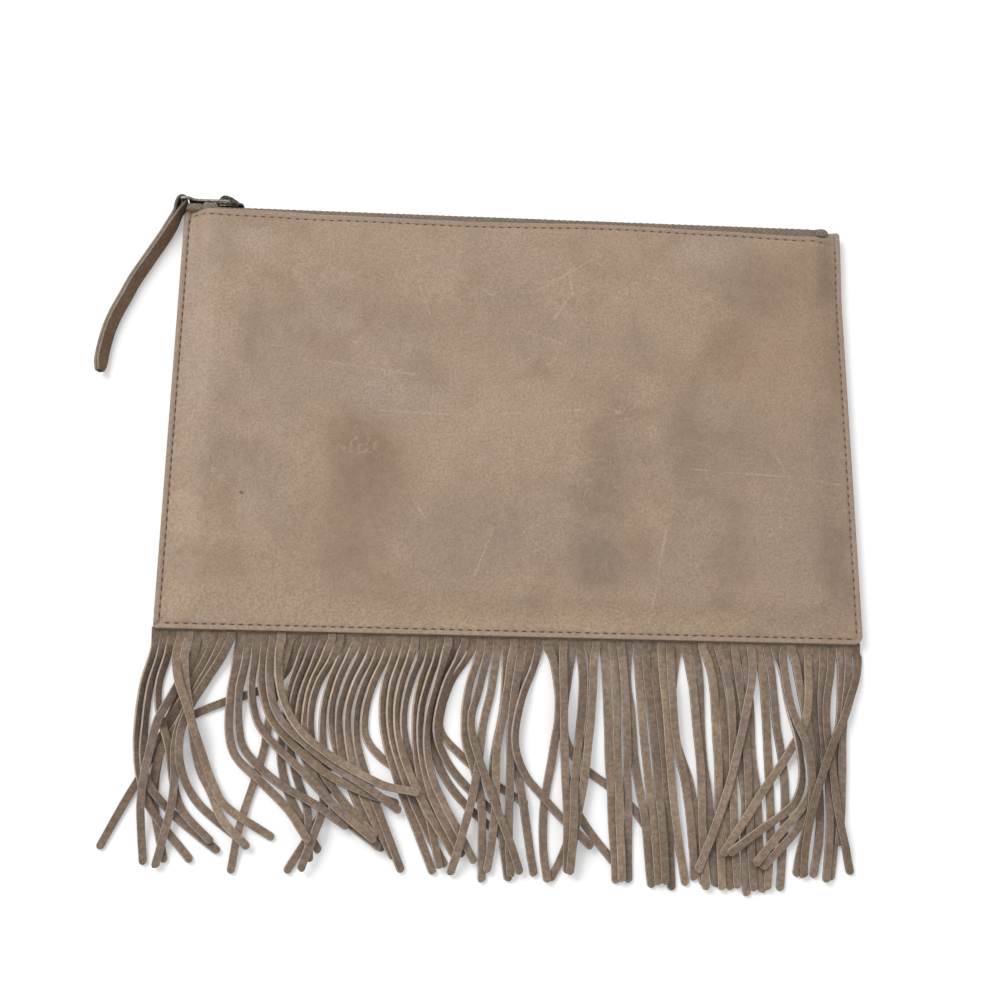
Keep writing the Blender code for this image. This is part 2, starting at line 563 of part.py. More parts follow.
# Fringe: for each strand its layer (0 lies lowest), its roll onto its edge in degrees, and where it lies.
# The points were read with this half width and this root line.
LAY_HALF_W = 152.5 * LAY_UNIT
LAY_ROOT_Y = -99.9 * LAY_UNIT
LAY = [
    (1, 50, (-151.6, -109), (-154.8, -122), (-156, -138), (-155, -153), (-151.5, -167), (-146, -178),
     (-130, -196.5)),
    (1, 50, (-148.8, -110), (-152, -124), (-153, -140), (-152, -155), (-149, -166), (-138, -178),
     (-119, -192.5)),
    (1, 45, (-145.6, -110), (-148.5, -123), (-147.5, -134), (-142, -150), (-139.5, -164), (-135, -176),
     (-122, -189)),
    (4, 8, (-141.6, -111), (-139.8, -122), (-135.5, -133), (-128, -153), (-123, -165), (-116, -175),
     (-97, -186.5)),
    (3, 12, (-138.1, -111), (-137, -123), (-134, -136), (-130, -156), (-124, -168), (-118, -180),
     (-107, -191)),
    (2, 25, (-135.3, -112), (-142, -127), (-147, -140), (-150, -155), (-151.5, -170), (-151, -185),
     (-149.5, -198)),
    (0, 25, (-132.3, -112), (-138.5, -126), (-143.5, -139), (-146, -152), (-147, -164), (-146, -177),
     (-141, -197)),
    (0, 25, (-129.2, -111), (-137, -127), (-144.5, -143), (-151, -157.5), (-159, -173), (-168, -192)),
    (1, 25, (-125.7, -111), (-132.5, -125), (-137.5, -138), (-139.4, -150), (-139, -164), (-140, -178),
     (-144.5, -199.5)),
    (2, 25, (-122.2, -110), (-128.5, -121), (-134.5, -133), (-137.5, -146), (-136, -160), (-128.5, -173),
     (-111, -187)),
    (3, 25, (-116.6, -112), (-118, -128), (-118, -142), (-114.5, -153), (-104, -163), (-92, -174.5),
     (-82, -189)),
    (3, 30, (-112.8, -112), (-114.5, -126), (-114, -140), (-110.5, -151), (-97, -163.5), (-82, -172),
     (-66.5, -182)),
    (4, 35, (-109, -111), (-109.5, -123), (-107.5, -135), (-102.5, -144), (-87, -159), (-72, -174),
     (-55, -188)),
    (5, 30, (-105.3, -111), (-105.3, -122), (-102, -134), (-96, -143), (-79, -158.5), (-62, -167),
     (-46, -171.5)),
    (6, 22, (-102.3, -111), (-101.8, -122), (-99, -133), (-92, -142.5), (-76, -155), (-61, -164.5),
     (-45, -175)),
    (6, 30, (-98.6, -112), (-97, -125), (-92.5, -136), (-84.5, -146), (-69, -156.5), (-54, -164),
     (-37.5, -168)),
    (2, 20, (-96.6, -113), (-99, -124), (-101.5, -137), (-103, -150), (-106.5, -164), (-111, -181),
     (-114, -201)),
    (0, 20, (-93.2, -111), (-98.5, -120), (-108, -125.5), (-122, -130.5), (-136, -138), (-145, -151),
     (-149, -172)),
    (1, 45, (-90.2, -112), (-93.5, -124), (-95, -137), (-96, -149), (-94.5, -160), (-90, -172),
     (-78, -192)),
    (1, 45, (-87, -112), (-91, -124), (-92.6, -136), (-92.6, -147), (-88.5, -162), (-83.5, -176),
     (-82, -196)),
    (2, 45, (-83.4, -112), (-87.6, -124), (-89.3, -136), (-88, -148), (-80.5, -163), (-69, -177.5),
     (-53, -190.5)),
    (2, 45, (-79.8, -111), (-84.4, -122), (-86.3, -134), (-85.3, -147), (-77, -161), (-66.5, -174),
     (-55, -186)),
    (1, 45, (-76.3, -111), (-81.5, -121), (-84, -132), (-83.4, -145), (-79, -160), (-77.5, -175),
     (-85.5, -200)),
    (0, 45, (-72.7, -110), (-76.8, -121), (-79, -133), (-78.6, -146), (-76, -160), (-78, -176),
     (-91.5, -200.5)),
    (1, 45, (-69.2, -110), (-73.4, -121), (-75.6, -133), (-74, -145), (-67, -163), (-60.5, -177),
     (-52, -191)),
    (1, 45, (-64.8, -110), (-69.4, -121), (-72.2, -133), (-71.5, -145), (-68, -160), (-61, -175),
     (-53.5, -187)),
    (1, 45, (-60.8, -110), (-65.8, -121), (-68.6, -133), (-67.8, -146), (-64, -161), (-57, -177),
     (-47.5, -194)),
    (2, 45, (-57.3, -110), (-62, -121), (-64.8, -133), (-64.3, -146), (-60, -160), (-53, -178),
     (-44, -199.5)),
    (0, 40, (-53.8, -110), (-58.4, -121), (-61.2, -133), (-60.5, -144), (-53, -153), (-41, -161),
     (-31, -180)),
    (2, 40, (-49.8, -109), (-53.2, -120), (-54, -133), (-52, -146), (-47, -161), (-40, -178),
     (-31, -200)),
    (2, 45, (-46.2, -109), (-49.9, -120.5), (-51, -133), (-49, -146), (-43.5, -162), (-36.5, -178),
     (-26, -197)),
    (3, 45, (-42.7, -109), (-46.2, -120), (-47.9, -132), (-46.6, -145), (-41.5, -160), (-34, -175),
     (-22, -193)),
    (2, 45, (-38.6, -109), (-42.2, -119), (-44.6, -130), (-44.6, -141), (-41, -155), (-33.5, -171),
     (-18.5, -192)),
    (2, 45, (-35, -109), (-38.3, -120), (-40, -132), (-39.6, -145), (-37.5, -160), (-33, -178),
     (-28.5, -198)),
    (3, 45, (-31.5, -109), (-34.7, -119), (-37.5, -131), (-37.6, -144), (-35.4, -158), (-30.5, -173),
     (-19, -193)),
    (3, 45, (-28.6, -110), (-31.3, -121), (-34.2, -133), (-35, -146), (-32.5, -160), (-26.5, -173),
     (-14, -195.5)),
    (1, 50, (-26.3, -110), (-29.5, -121), (-32.2, -133), (-32.5, -146), (-27, -160), (-17.5, -172),
     (-3, -184)),
    (1, 50, (-22.7, -110), (-27.5, -121), (-30.5, -133), (-30.5, -144), (-24.5, -156), (-14.5, -167),
     (1, -180)),
    (0, 50, (-18.8, -109), (-24.9, -119), (-28.7, -131), (-28.9, -141), (-20, -151), (-8, -161),
     (8, -171)),
    (2, 30, (-14, -109), (-17.4, -121), (-19, -133), (-18.5, -145), (-14.5, -158), (-11.5, -173),
     (-11, -203)),
    (4, 25, (-9.8, -107), (-11.6, -115), (-14, -125.2), (-15.9, -131.7), (-16.3, -138.2), (-15, -145.9),
     (-12.4, -154.3), (-9.9, -161.3), (-6.7, -170.2), (-2.8, -179.8), (0.8, -188.6), (4.8, -199.7)),
    (3, 15, (-6.1, -108.8), (-7.1, -116.1), (-8.1, -123.4), (-9.8, -130.7), (-11.2, -137.8),
     (-12.1, -145), (-12.9, -153.5), (-14.4, -162.6), (-16.3, -172.3), (-18.9, -182), (-21.5, -191.6),
     (-24.3, -200.4)),
    (2, 25, (-1.7, -108.7), (-2, -118.2), (-2.3, -125.5), (-2.9, -131.2), (-3.9, -137.7), (-5.4, -144.8),
     (-6.4, -151.9), (-6.7, -159), (-6.1, -166.6), (-4.6, -174.9), (-2.9, -183.8), (0, -202.4)),
    (3, 15, (0.3, -110.1), (-0.8, -119.6), (-1.9, -126.9), (-2.8, -133.4), (-4.2, -140.6),
     (-5.3, -147.7), (-5.7, -155.4), (-5.8, -165.9), (-6.2, -176.3), (-7.3, -188), (-9.1, -199.2)),
    (3, 15, (3.9, -110.8), (2.2, -121.7), (1, -131.9), (0.5, -141.2), (0.4, -151.8), (0.3, -162.3),
     (0, -172.7), (-0.1, -186.5), (0.9, -201)),
    (2, 25, (7.7, -109.2), (5.6, -118.8), (3.8, -127.5), (2.4, -136.1), (1.9, -144.7), (2.7, -153.2),
     (4.4, -161.5), (6, -171.3), (7.7, -181.6), (9.1, -191.1), (10.7, -200.2)),
    (3, 35, (11.8, -106.2), (9.7, -113.6), (6.8, -120.9), (4.7, -127.5), (3.1, -134.7), (2.2, -141.8),
     (2.6, -148.2), (4.6, -154.5), (8, -160.4), (12.4, -165.6), (17.1, -171), (22.7, -177.5),
     (28.9, -183.4), (34.8, -188.5)),
    (2, 15, (18.3, -108.2), (19.7, -115.5), (20.7, -124.2), (20.7, -131.4), (20, -138.6), (18.9, -145.8),
     (17.9, -152.9), (16.7, -159.2), (15.6, -165.5), (14.7, -171.8), (14.3, -180.1), (14.5, -189.7),
     (15.4, -197.8), (16.1, -202.8)),
    (0, 30, (21.1, -107.9), (22.2, -117.4), (22.7, -128.3), (22.9, -139.8), (23.5, -149.7),
     (24.1, -158.2), (25.7, -165.9), (28.4, -172.8), (32.6, -179.6), (37.4, -186.1), (41.5, -191.1),
     (44.1, -194.5)),
    (3, 8, (22.7, -109.6), (22.7, -122.7), (22.8, -134.3), (23, -144.3), (23.5, -154.9), (23.9, -165.4),
     (24, -175.8), (23.9, -186.1), (24.3, -199)),
    (0, 25, (26.7, -106.3), (25.5, -113.7), (24.2, -122.5), (23.3, -129.7), (23.1, -136.9), (24.2, -144),
     (27.3, -150), (32.1, -155.1), (37, -158.8), (41.2, -161.7), (46.8, -166.2), (53, -172.3),
     (58.1, -179.9)),
    (3, 8, (31, -107.9), (31.6, -116.7), (31.4, -124), (30.6, -134.1), (29.6, -142.7), (28.5, -151.2),
     (27.6, -159.7), (26.8, -168.1), (26.5, -176.4), (26, -186), (25.2, -199.7)),
    (1, 12, (35, -107.6), (35.1, -118.6), (34.6, -128), (33.8, -136.7), (32.7, -145.3), (31.6, -155.2),
     (30.5, -163.7), (29.1, -170.7), (27, -179), (23.9, -188), (20.1, -196.2), (17.2, -201.7)),
    (2, 6, (36.3, -107.8), (35.8, -118.8), (35.2, -128.2), (34.4, -136.9), (33.3, -145.5),
     (32.2, -155.4), (30.9, -163.8), (29.4, -171.5), (27.9, -179.2), (26.5, -188.8), (25.8, -197.6)),
    (1, 4, (41.3, -107.5), (41.7, -118.4), (42.1, -129.3), (42.3, -143.7), (42.6, -157.8),
     (43.2, -171.8), (43.8, -185.6), (44.6, -202.6)),
    (2, 4, (45.2, -109.1), (45.8, -118.6), (46, -129.5), (46, -143.8), (46.2, -157.9), (46.3, -171.9),
     (46.5, -185.7), (46.8, -202.2)),
    (1, 4, (48.7, -108.8), (49.3, -118.3), (49.8, -129.2), (50, -143.5), (50.1, -157.7), (50.1, -171.7),
     (50, -185.5), (49.8, -202.2)),
    (0, 6, (51.1, -107.2), (50.7, -114.6), (51, -121.9), (52.1, -129.1), (52.7, -139.9), (53.4, -150.6),
     (54.8, -161.1), (56.4, -171.6), (57.6, -182), (58.5, -192.2), (59.5, -204.1)),
    (1, 6, (55.6, -108.6), (56, -118.1), (56.8, -130.5), (57.7, -143.4), (58.9, -157.5), (60.3, -171.5),
     (61.3, -185.3), (62.3, -203.2)),
    (2, 6, (59.3, -115), (61, -132), (62.6, -152), (64, -177), (65, -203)),
    (1, 6, (62.9, -115), (64.6, -132), (66.2, -152), (67.3, -177), (67.9, -205)),
    (2, 5, (66.2, -115), (67.4, -135), (68.5, -155), (70.3, -178), (73.8, -203)),
    (3, 8, (69.4, -114.4), (69.8, -125.3), (70.2, -136.1), (71.2, -144.7), (72.8, -152.5),
     (74.3, -159.5), (75.4, -167.9), (76.3, -178.3), (77, -190), (77.4, -200.9)),
    (1, 20, (71.9, -108.2), (70.7, -116.3), (70, -125.1), (70, -133.1), (71.1, -141.7), (73.5, -150.2),
     (76.1, -158.6), (77.8, -167.7), (79.1, -178.1), (80.2, -189.8), (81.1, -202.8)),
    (2, 5, (77.6, -108.3), (78.8, -117.8), (79.5, -127.3), (80, -135.9), (80.7, -144.5), (81.3, -153.7),
     (81.4, -162.2), (81.3, -171.3), (81.2, -181.7), (81.5, -192), (82, -204.9)),
    (1, 5, (81.4, -108), (82.2, -117.5), (82.2, -127), (82.1, -135.7), (82.4, -144.3), (82.9, -153.5),
     (84, -161.3), (84.7, -169.7), (85.1, -178), (85.5, -191.8), (86.3, -203.4)),
    (2, 5, (85.4, -106.7), (87.2, -114), (88.1, -122.7), (88.5, -132.1), (88.7, -142.9), (88.9, -153.6),
     (88.7, -164.2), (88.6, -174.6), (88.7, -185), (88.8, -204.8)),
    (1, 6, (89.2, -110), (91.4, -122.4), (91.8, -131.9), (92.1, -142.7), (92.1, -153.4), (92, -163.9),
     (92.3, -174.4), (92.5, -188.3), (92.4, -204.5)),
    (2, 6, (92.8, -110.2), (94.9, -121.1), (95.4, -132), (95.3, -142.8), (95.2, -153.5), (94.9, -167.6),
     (94.8, -181.5), (95.2, -204)),
    (1, 12, (96.4, -109.9), (97.7, -120.8), (98.2, -131.7), (98.4, -142.5), (98.8, -153.2),
     (99.8, -161.7), (100.1, -170.1), (99.4, -181.2), (99.1, -191.6), (99.2, -206.9)),
    (2, 6, (98.8, -113), (100.6, -130), (101.4, -150), (101.4, -175), (102, -205)),
    (1, 6, (102.8, -109.7), (103.6, -120.7), (103.8, -131.6), (103.7, -142.4), (104, -151.7),
     (105, -160.2), (105.4, -170.7), (105.3, -184.6), (105.6, -205.4)),
    (5, 6, (105.4, -107.9), (104.7, -116), (102.2, -126.3), (99.6, -137.2), (97.4, -145.8),
     (94.3, -157.2), (90.5, -168.5), (85.9, -180.4), (81.3, -190.7), (78.1, -197.9)),
    (2, 5, (109.1, -107.6), (110, -114.9), (110.3, -122.2), (110.5, -131.7), (110.6, -142.5),
     (110.7, -153.2), (110.8, -163.8), (110.7, -174.2), (110, -184.6), (108.8, -195), (107.6, -204.5)),
    (1, 8, (113.1, -107.2), (113.8, -114.6), (114.2, -121.9), (114.6, -129.2), (115, -136.4),
     (115.9, -143.6), (116.8, -151.5), (117.3, -158.5), (117.2, -167), (116.3, -177.5), (114.7, -191.3),
     (113.2, -204.6)),
    (4, 45, (117.2, -107.6), (118.6, -115), (119.3, -122.3), (119.8, -128.1), (120.4, -134.6),
     (121.7, -141.7), (123.4, -148.8), (124.5, -155.9), (123.8, -162.3), (120.8, -168.3),
     (115.8, -172.9), (109.6, -177.2), (102.4, -182.2), (95.8, -187.1), (91.1, -190.4)),
    (4, 8, (118.5, -106.1), (119, -113.5), (119.7, -122.2), (120.5, -129.5), (122, -136),
     (124.8, -142.4), (127, -149.5), (128, -156.5), (128, -163.6), (127.1, -171.3), (125.1, -179.7),
     (122.3, -189.4), (120.3, -198.6)),
    (3, 10, (123.8, -105.8), (124.8, -113.1), (125.8, -120.4), (126.7, -127.7), (127.5, -136.4),
     (128.5, -145), (129.1, -153.5), (128.5, -160.6), (125.9, -167), (121.4, -173.4), (115.4, -179.7),
     (108.7, -187.1), (102, -194.7)),
    (2, 15, (126.4, -113), (127.4, -127), (129.3, -142), (131.5, -154), (129, -168), (119, -182),
     (105, -196)),
    (3, 8, (129.6, -109.3), (129, -118.9), (127.9, -127), (126.4, -132.8), (124.1, -138.6),
     (119.5, -146.7), (114.8, -153.7), (108.7, -161.8), (103.8, -168.9), (99.3, -175.6), (93.7, -183.6),
     (89, -191)),
    (1, 10, (132.5, -113), (131.5, -128), (131.5, -145), (132, -165), (131, -182), (127.5, -199)),
    (2, 10, (135.9, -112), (134.6, -126), (134.9, -142), (136, -158), (135.4, -178), (132.5, -201)),
    (3, 10, (139.4, -111), (136.9, -124), (136.2, -137), (137.5, -153), (139, -172), (143.5, -197.5)),
    (1, 12, (144.6, -108.7), (143.8, -119.8), (142.8, -130.1), (141.5, -138.1), (140.1, -146),
     (139, -156), (138.6, -166.6), (138.3, -175), (136.8, -187.5), (134.8, -199.9)),
    (2, 12, (147.5, -108.9), (146.4, -117.8), (144.9, -125.9), (143.6, -134.6), (142.8, -143.3),
     (142, -156.1), (141.2, -166.7), (140.2, -175.8), (138.6, -185.9)),
    (5, 12, (152.2, -104.6), (151.3, -110.5), (149.5, -116.5), (146.8, -123.8), (144.1, -131.2),
     (140.1, -139.2), (136, -147.9), (132.5, -156.5), (129.8, -163.6), (127.5, -170.6), (125.6, -179.7),
     (124.2, -188.7), (123.3, -199.3)),
]


def strand_paths(steps):
    """Each strand's line on the table, from its root at the band to its tip."""
    lines = []
    first = -STRAND_PITCH * (STRANDS - 1) / 2
    spread = HALF_W / LAY_HALF_W
    for k, row in enumerate(LAY):
        x = first + k * STRAND_PITCH
        pts = [(x, BAND_Y[0]), (x, BAND_Y[0] - 3 * LAY_UNIT)]
        pts += [(a * LAY_UNIT * spread, b * LAY_UNIT + BAND_Y[0] - LAY_ROOT_Y) for a, b in row[2:]]
        lines.append(spline(pts, steps + 1))
    return lines


def strand_frames(line, roll_deg):
    """Along a strand: its direction, its width across and its thickness, rolled onto its edge."""
    n = len(line)
    d = np.zeros((n, 2))
    d[1:-1] = line[2:] - line[:-2]
    d[0] = line[1] - line[0]
    d[-1] = line[-1] - line[-2]
    d /= np.linalg.norm(d, axis=1)[:, None]
    run = np.linspace(0, 1, n)
    share = [smooth(s / 0.14) * (1 - 0.6 * smooth((s - 0.3) / 0.35)) for s in run]
    roll = np.array([math.radians(roll_deg) * part for part in share])
    across = np.stack([d[:, 1] * np.cos(roll), -d[:, 0] * np.cos(roll), np.sin(roll)], axis=1)
    along_ = np.stack([d[:, 0], d[:, 1], np.zeros(n)], axis=1)
    thick = np.cross(across, along_)
    thick *= np.sign(thick[:, 2])[:, None]
    return along_, across, thick, roll


def lay_heights(lines, frames, order):
    """How high each strand's middle is, so that it lies on the table or over those laid before it."""
    heights = [None] * len(lines)
    laid = []
    hw, ht = STRAND_W / 2, STRAND_T / 2
    for k in order:
        line = lines[k]
        ax = np.stack(frames[k][:3], axis=1)
        roll = frames[k][3]
        n = len(line)
        run = np.concatenate([[0], np.cumsum(np.linalg.norm(np.diff(line, axis=0), axis=1))])
        floor = hw * np.sin(roll) + ht * np.cos(roll) + TABLE_CLEAR
        need = floor.copy()
        mid = (line[1:] + line[:-1]) / 2
        ax_mid = (ax[1:] + ax[:-1]) / 2
        ax_mid /= np.linalg.norm(ax_mid, axis=2)[:, :, None]
        half_l = np.diff(run) / 2
        step = float(np.max(half_l))
        if laid:
            c2, a2, l2 = (np.concatenate(v) for v in zip(*laid))
            for i in range(n - 1):
                near = np.where(np.hypot(*(c2[:, :2] - mid[i]).T) < 2 * step + 2 * STRAND_W)[0]
                if not len(near):
                    continue
                own = np.array([half_l[i], hw, ht])
                low = lift(mid[i], ax_mid[i], own, c2[near], a2[near], l2[near])
                need[i] = max(need[i], low)
                need[i + 1] = max(need[i + 1], low)
        z = need.copy()
        for i in range(n):
            z = np.maximum(z, need[i] - SLOPE * np.abs(run - run[i]))
        lead = smoothing(z, run)
        near = run < LEAD_IN
        lead[near] = np.maximum(lead[near], BAND_Z - SLOPE * run[near])
        lead[near] = np.minimum(lead[near], BAND_Z + ROOT_SLOPE * run[near])
        heights[k] = lead
        zm = (lead[1:] + lead[:-1]) / 2
        pitch = np.diff(lead) / np.diff(run)
        axm = ax_mid.copy()
        axm[:, 0, 2] = pitch
        axm[:, 0] /= np.linalg.norm(axm[:, 0], axis=1)[:, None]
        sizes = np.column_stack([half_l * 1.02, np.full(n - 1, hw), np.full(n - 1, ht)])
        laid.append((np.column_stack([mid, zm]), axm, sizes))
    return heights


def smoothing(z, run):
    """A smooth line that stays at or over z."""
    out = z.copy()
    for _ in range(2):
        soft = out.copy()
        soft[1:-1] = 0.25 * out[:-2] + 0.5 * out[1:-1] + 0.25 * out[2:]
        out = np.maximum(soft, z)
    return out


def lift(mid, axes, own, centres, others, sizes):
    """The least height of the middle at which a box of the strand clears the boxes near it."""
    best = np.full(len(centres), np.inf)
    rel = np.column_stack([mid[0] - centres[:, 0], mid[1] - centres[:, 1], -centres[:, 2]])
    tests = [np.broadcast_to(axes[j], (len(centres), 3)) for j in range(3)]
    tests += [others[:, j] for j in range(3)]
    tests += [np.broadcast_to(np.array([0.0, 0.0, 1.0]), (len(centres), 3))]
    for j in range(2):
        for m in range(3):
            tests.append(np.cross(others[:, m], axes[j]))
    for test in tests:
        size = np.linalg.norm(test, axis=1)
        ok = size > 0.05
        nrm = test / np.maximum(size, 1e-9)[:, None]
        nrm = nrm * np.where(nrm[:, 2] < 0, -1.0, 1.0)[:, None]
        r = np.abs(nrm @ axes.T) @ own + np.sum(np.abs(np.einsum("ijk,ik->ij", others, nrm)) * sizes, axis=1)
        r = r + STRAND_GAP
        flat = np.sum(nrm * rel, axis=1)
        apart = np.abs(nrm[:, 2]) < 0.02
        never = np.where(np.abs(flat) >= r, 0.0, np.inf)
        at = (r - flat) / np.maximum(nrm[:, 2], 0.02)
        at = np.where(apart, never, at)
        side = np.hypot(nrm[:, 0], nrm[:, 1]) > 0.3
        free = side & (flat + nrm[:, 2] * centres[:, 2] <= -r)
        at = np.where(free, 0.0, at)
        best = np.where(ok, np.minimum(best, at), best)
    return float(np.max(best))


def fringe():
    lines = strand_paths(STRAND_STEPS)
    frames = [strand_frames(line, LAY[k][1]) for k, line in enumerate(lines)]
    order = sorted(range(STRANDS), key=lambda k: (LAY[k][0], k))
    heights = lay_heights(lines, frames, order)
    verts, faces = [], []
    top_z, low_z = BAND_Z + STRAND_T / 2, BAND_Z - STRAND_T / 2
    ends = (lines[0][0][0] - STRAND_W / 2 - 0.3 * MM, lines[-1][0][0] + STRAND_W / 2 + 0.3 * MM)
    back = []
    for x in ends:
        for z in (top_z, low_z):
            back.append(len(verts))
            verts.append((x, BAND_Y[1], z))
    front = []
    for x in ends:
        for z in (top_z, low_z):
            front.append(len(verts))
            verts.append((x, BAND_Y[0], z))
    edge_top, edge_low = [front[0]], [front[1]]
    for k, line in enumerate(lines):
        along_, across, thick, _ = frames[k]
        ring = None
        for i in range(STRAND_STEPS + 1):
            c = np.array([line[i][0], line[i][1], heights[k][i]])
            start = len(verts)
            taper = 0.8 if i == STRAND_STEPS else 1.0
            a = across[i] if i else np.array([1.0, 0.0, 0.0]) * np.sign(across[1][0])
            t = thick[i] if i else np.array([0.0, 0.0, 1.0])
            for p, q in ((-1, 1), (1, 1), (1, -1), (-1, -1)):
                verts.append(tuple(c + a * p * STRAND_W / 2 * taper + t * q * STRAND_T / 2))
            now = tuple(range(start, start + 4))
            if ring:
                faces += [(ring[j], ring[(j + 1) % 4], now[(j + 1) % 4], now[j]) for j in range(4)]
            else:
                first = now if verts[now[0]][0] < verts[now[1]][0] else (now[1], now[0], now[3], now[2])
                edge_top += [first[0], first[1]]
                edge_low += [first[3], first[2]]
                faces.append((edge_top[-3], edge_top[-2], edge_low[-2], edge_low[-3]))
            ring = now
        faces.append(ring)
    edge_top.append(front[2])
    edge_low.append(front[3])
    faces.append((edge_top[-2], edge_top[-1], edge_low[-1], edge_low[-2]))
    faces.append(tuple(edge_top) + (back[2], back[0]))
    faces.append(tuple(edge_low) + (back[3], back[1]))
    faces.append((back[0], back[2], back[3], back[1]))
    faces.append((front[0], front[1], back[1], back[0]))
    faces.append((front[2], back[2], back[3], front[3]))
    return solid("fringe", verts, faces, SUEDE)


fringe()
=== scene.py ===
import math

import bpy
import bmesh
import numpy as np
from mathutils import Matrix, Vector, noise


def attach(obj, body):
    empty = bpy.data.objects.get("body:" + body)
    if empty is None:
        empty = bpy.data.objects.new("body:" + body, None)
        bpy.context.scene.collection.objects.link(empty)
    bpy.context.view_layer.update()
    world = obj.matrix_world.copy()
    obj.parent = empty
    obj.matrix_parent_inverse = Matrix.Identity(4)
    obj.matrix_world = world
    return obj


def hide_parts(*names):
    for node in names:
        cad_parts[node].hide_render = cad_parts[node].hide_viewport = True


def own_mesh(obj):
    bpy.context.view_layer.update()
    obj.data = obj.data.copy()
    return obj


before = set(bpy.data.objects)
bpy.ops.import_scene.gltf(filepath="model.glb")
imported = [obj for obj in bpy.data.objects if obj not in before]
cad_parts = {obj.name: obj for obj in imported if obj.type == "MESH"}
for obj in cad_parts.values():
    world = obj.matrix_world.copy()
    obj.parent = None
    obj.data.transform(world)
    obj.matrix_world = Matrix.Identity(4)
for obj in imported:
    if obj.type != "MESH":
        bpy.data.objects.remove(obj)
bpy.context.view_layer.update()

# Back panel: one flat piece of the same worn leather as the front, plain, its cut edges rubbed round.
# The pouch lies on it, and the front is sewn to it along the sides and the bottom.
MM = 0.001
HALF_W = 152.5 * MM
BOTTOM_Y = -99.5 * MM
BACK_TOP_Y = 97.5 * MM
LEATHER_T = 1.2 * MM
CORNER_R = 1.8 * MM
LOW_RIGHT_R = 4.5 * MM
EDGE_R = 0.5 * MM
SEAM_IN = 2.5 * MM
SEAM_DEEP = 0.28 * MM
SEAM_SPREAD = 0.75 * MM
BACK_STEP = 5.0 * MM


def feed(tree, node, inputs):
    """Gives a node its inputs, each a plain value or another node's output, and returns its outputs."""
    for key, value in inputs.items():
        if isinstance(value, bpy.types.NodeSocket):
            tree.links.new(value, node.inputs[key])
        else:
            node.inputs[key].default_value = value
    return node.outputs


def place(tree, kind, inputs, **settings):
    """The outputs of a new shader node with its settings and its inputs."""
    node = tree.nodes.new("ShaderNode" + kind)
    for key, value in settings.items():
        setattr(node, key, value)
    return feed(tree, node, inputs)


def mixed(tree, share, a, b, how="MIX"):
    """The colour a turned into b by a mask."""
    return place(tree, "Mix", {0: share, 6: a, 7: b}, data_type="RGBA", blend_type=how)[2]


def ranged(tree, value, low, high, to_low=0.0, to_high=1.0):
    """A value eased from one range to another."""
    inputs = {"Value": value, "From Min": low, "From Max": high, "To Min": to_low, "To Max": to_high}
    return place(tree, "MapRange", inputs, interpolation_type="SMOOTHSTEP")[0]


def reckon(tree, how, a, b=0.0, capped=False):
    """A sum on two values."""
    return place(tree, "Math", {0: a, 1: b}, operation=how, use_clamp=capped)[0]


def tinted(tree, tone, mask, share, to):
    """A tone turned towards another by a share of a mask."""
    return mixed(tree, reckon(tree, "MULTIPLY", mask, share), tone, to)


def steer(tree, how, a, b=(0, 0, 0)):
    """A sum on vectors: its vector, or its value where it has one."""
    outputs = place(tree, "VectorMath", {0: a, "Scale" if how == "SCALE" else 1: b}, operation=how)
    return outputs["Value" if how in ("LENGTH", "DISTANCE", "DOT_PRODUCT") else "Vector"]


def noisy(tree, spot, scale, detail, roughness=0.5, distortion=0.0):
    """A soft noise over the piece: its value and its colour."""
    inputs = {"Vector": spot, "Scale": scale, "Detail": detail, "Roughness": roughness}
    return place(tree, "TexNoise", {**inputs, "Distortion": distortion})


def effect(name, takes, *gives):
    """A shared shading effect as a node group, with its entry and its exit."""
    group = bpy.data.node_groups.new(name, "ShaderNodeTree")
    for label, value in takes.items():
        kind = "NodeSocketVector" if isinstance(value, tuple) else "NodeSocketFloat"
        group.interface.new_socket(name=label, in_out="INPUT", socket_type=kind).default_value = value
    for label in gives:
        group.interface.new_socket(name=label, in_out="OUTPUT", socket_type="NodeSocketFloat")
    return group, group.nodes.new("NodeGroupInput").outputs, group.nodes.new("NodeGroupOutput").inputs


def use(tree, group, spot, **values):
    """A shared effect placed in a material with its own values."""
    node = tree.nodes.new("ShaderNodeGroup")
    node.node_tree = group
    return feed(tree, node, {"Place": spot, **values})


def finish_of(name, roughness, metallic=0.0):
    """A new material, its tree, its Principled shader and the place on the piece."""
    finish = bpy.data.materials.new(name)
    finish.use_nodes = True
    tree = finish.node_tree
    skin = tree.nodes["Principled BSDF"]
    skin.inputs["Roughness"].default_value = roughness
    skin.inputs["Metallic"].default_value = metallic
    return finish, tree, skin, place(tree, "TexCoord", {})["Object"]


def bumped(tree, skin, height, strength, distance):
    """A relief on a material's surface, with its distance in metres."""
    bump = place(tree, "Bump", {"Height": height, "Strength": strength, "Distance": distance})
    tree.links.new(bump[0], skin.inputs["Normal"])


# Cloudy tone of a rubbed hide, in the metres of the piece
clouds, come, go = effect("clouds", {"Place": (0, 0, 0), "Size": 0.03, "Low": 0.4, "High": 0.6}, "Mask")
fog = noisy(clouds, come["Place"], reckon(clouds, "DIVIDE", 1.0, come["Size"]), 2.5, 0.5, 0.6)
clouds.links.new(ranged(clouds, fog[0], come["Low"], come["High"]), go["Mask"])

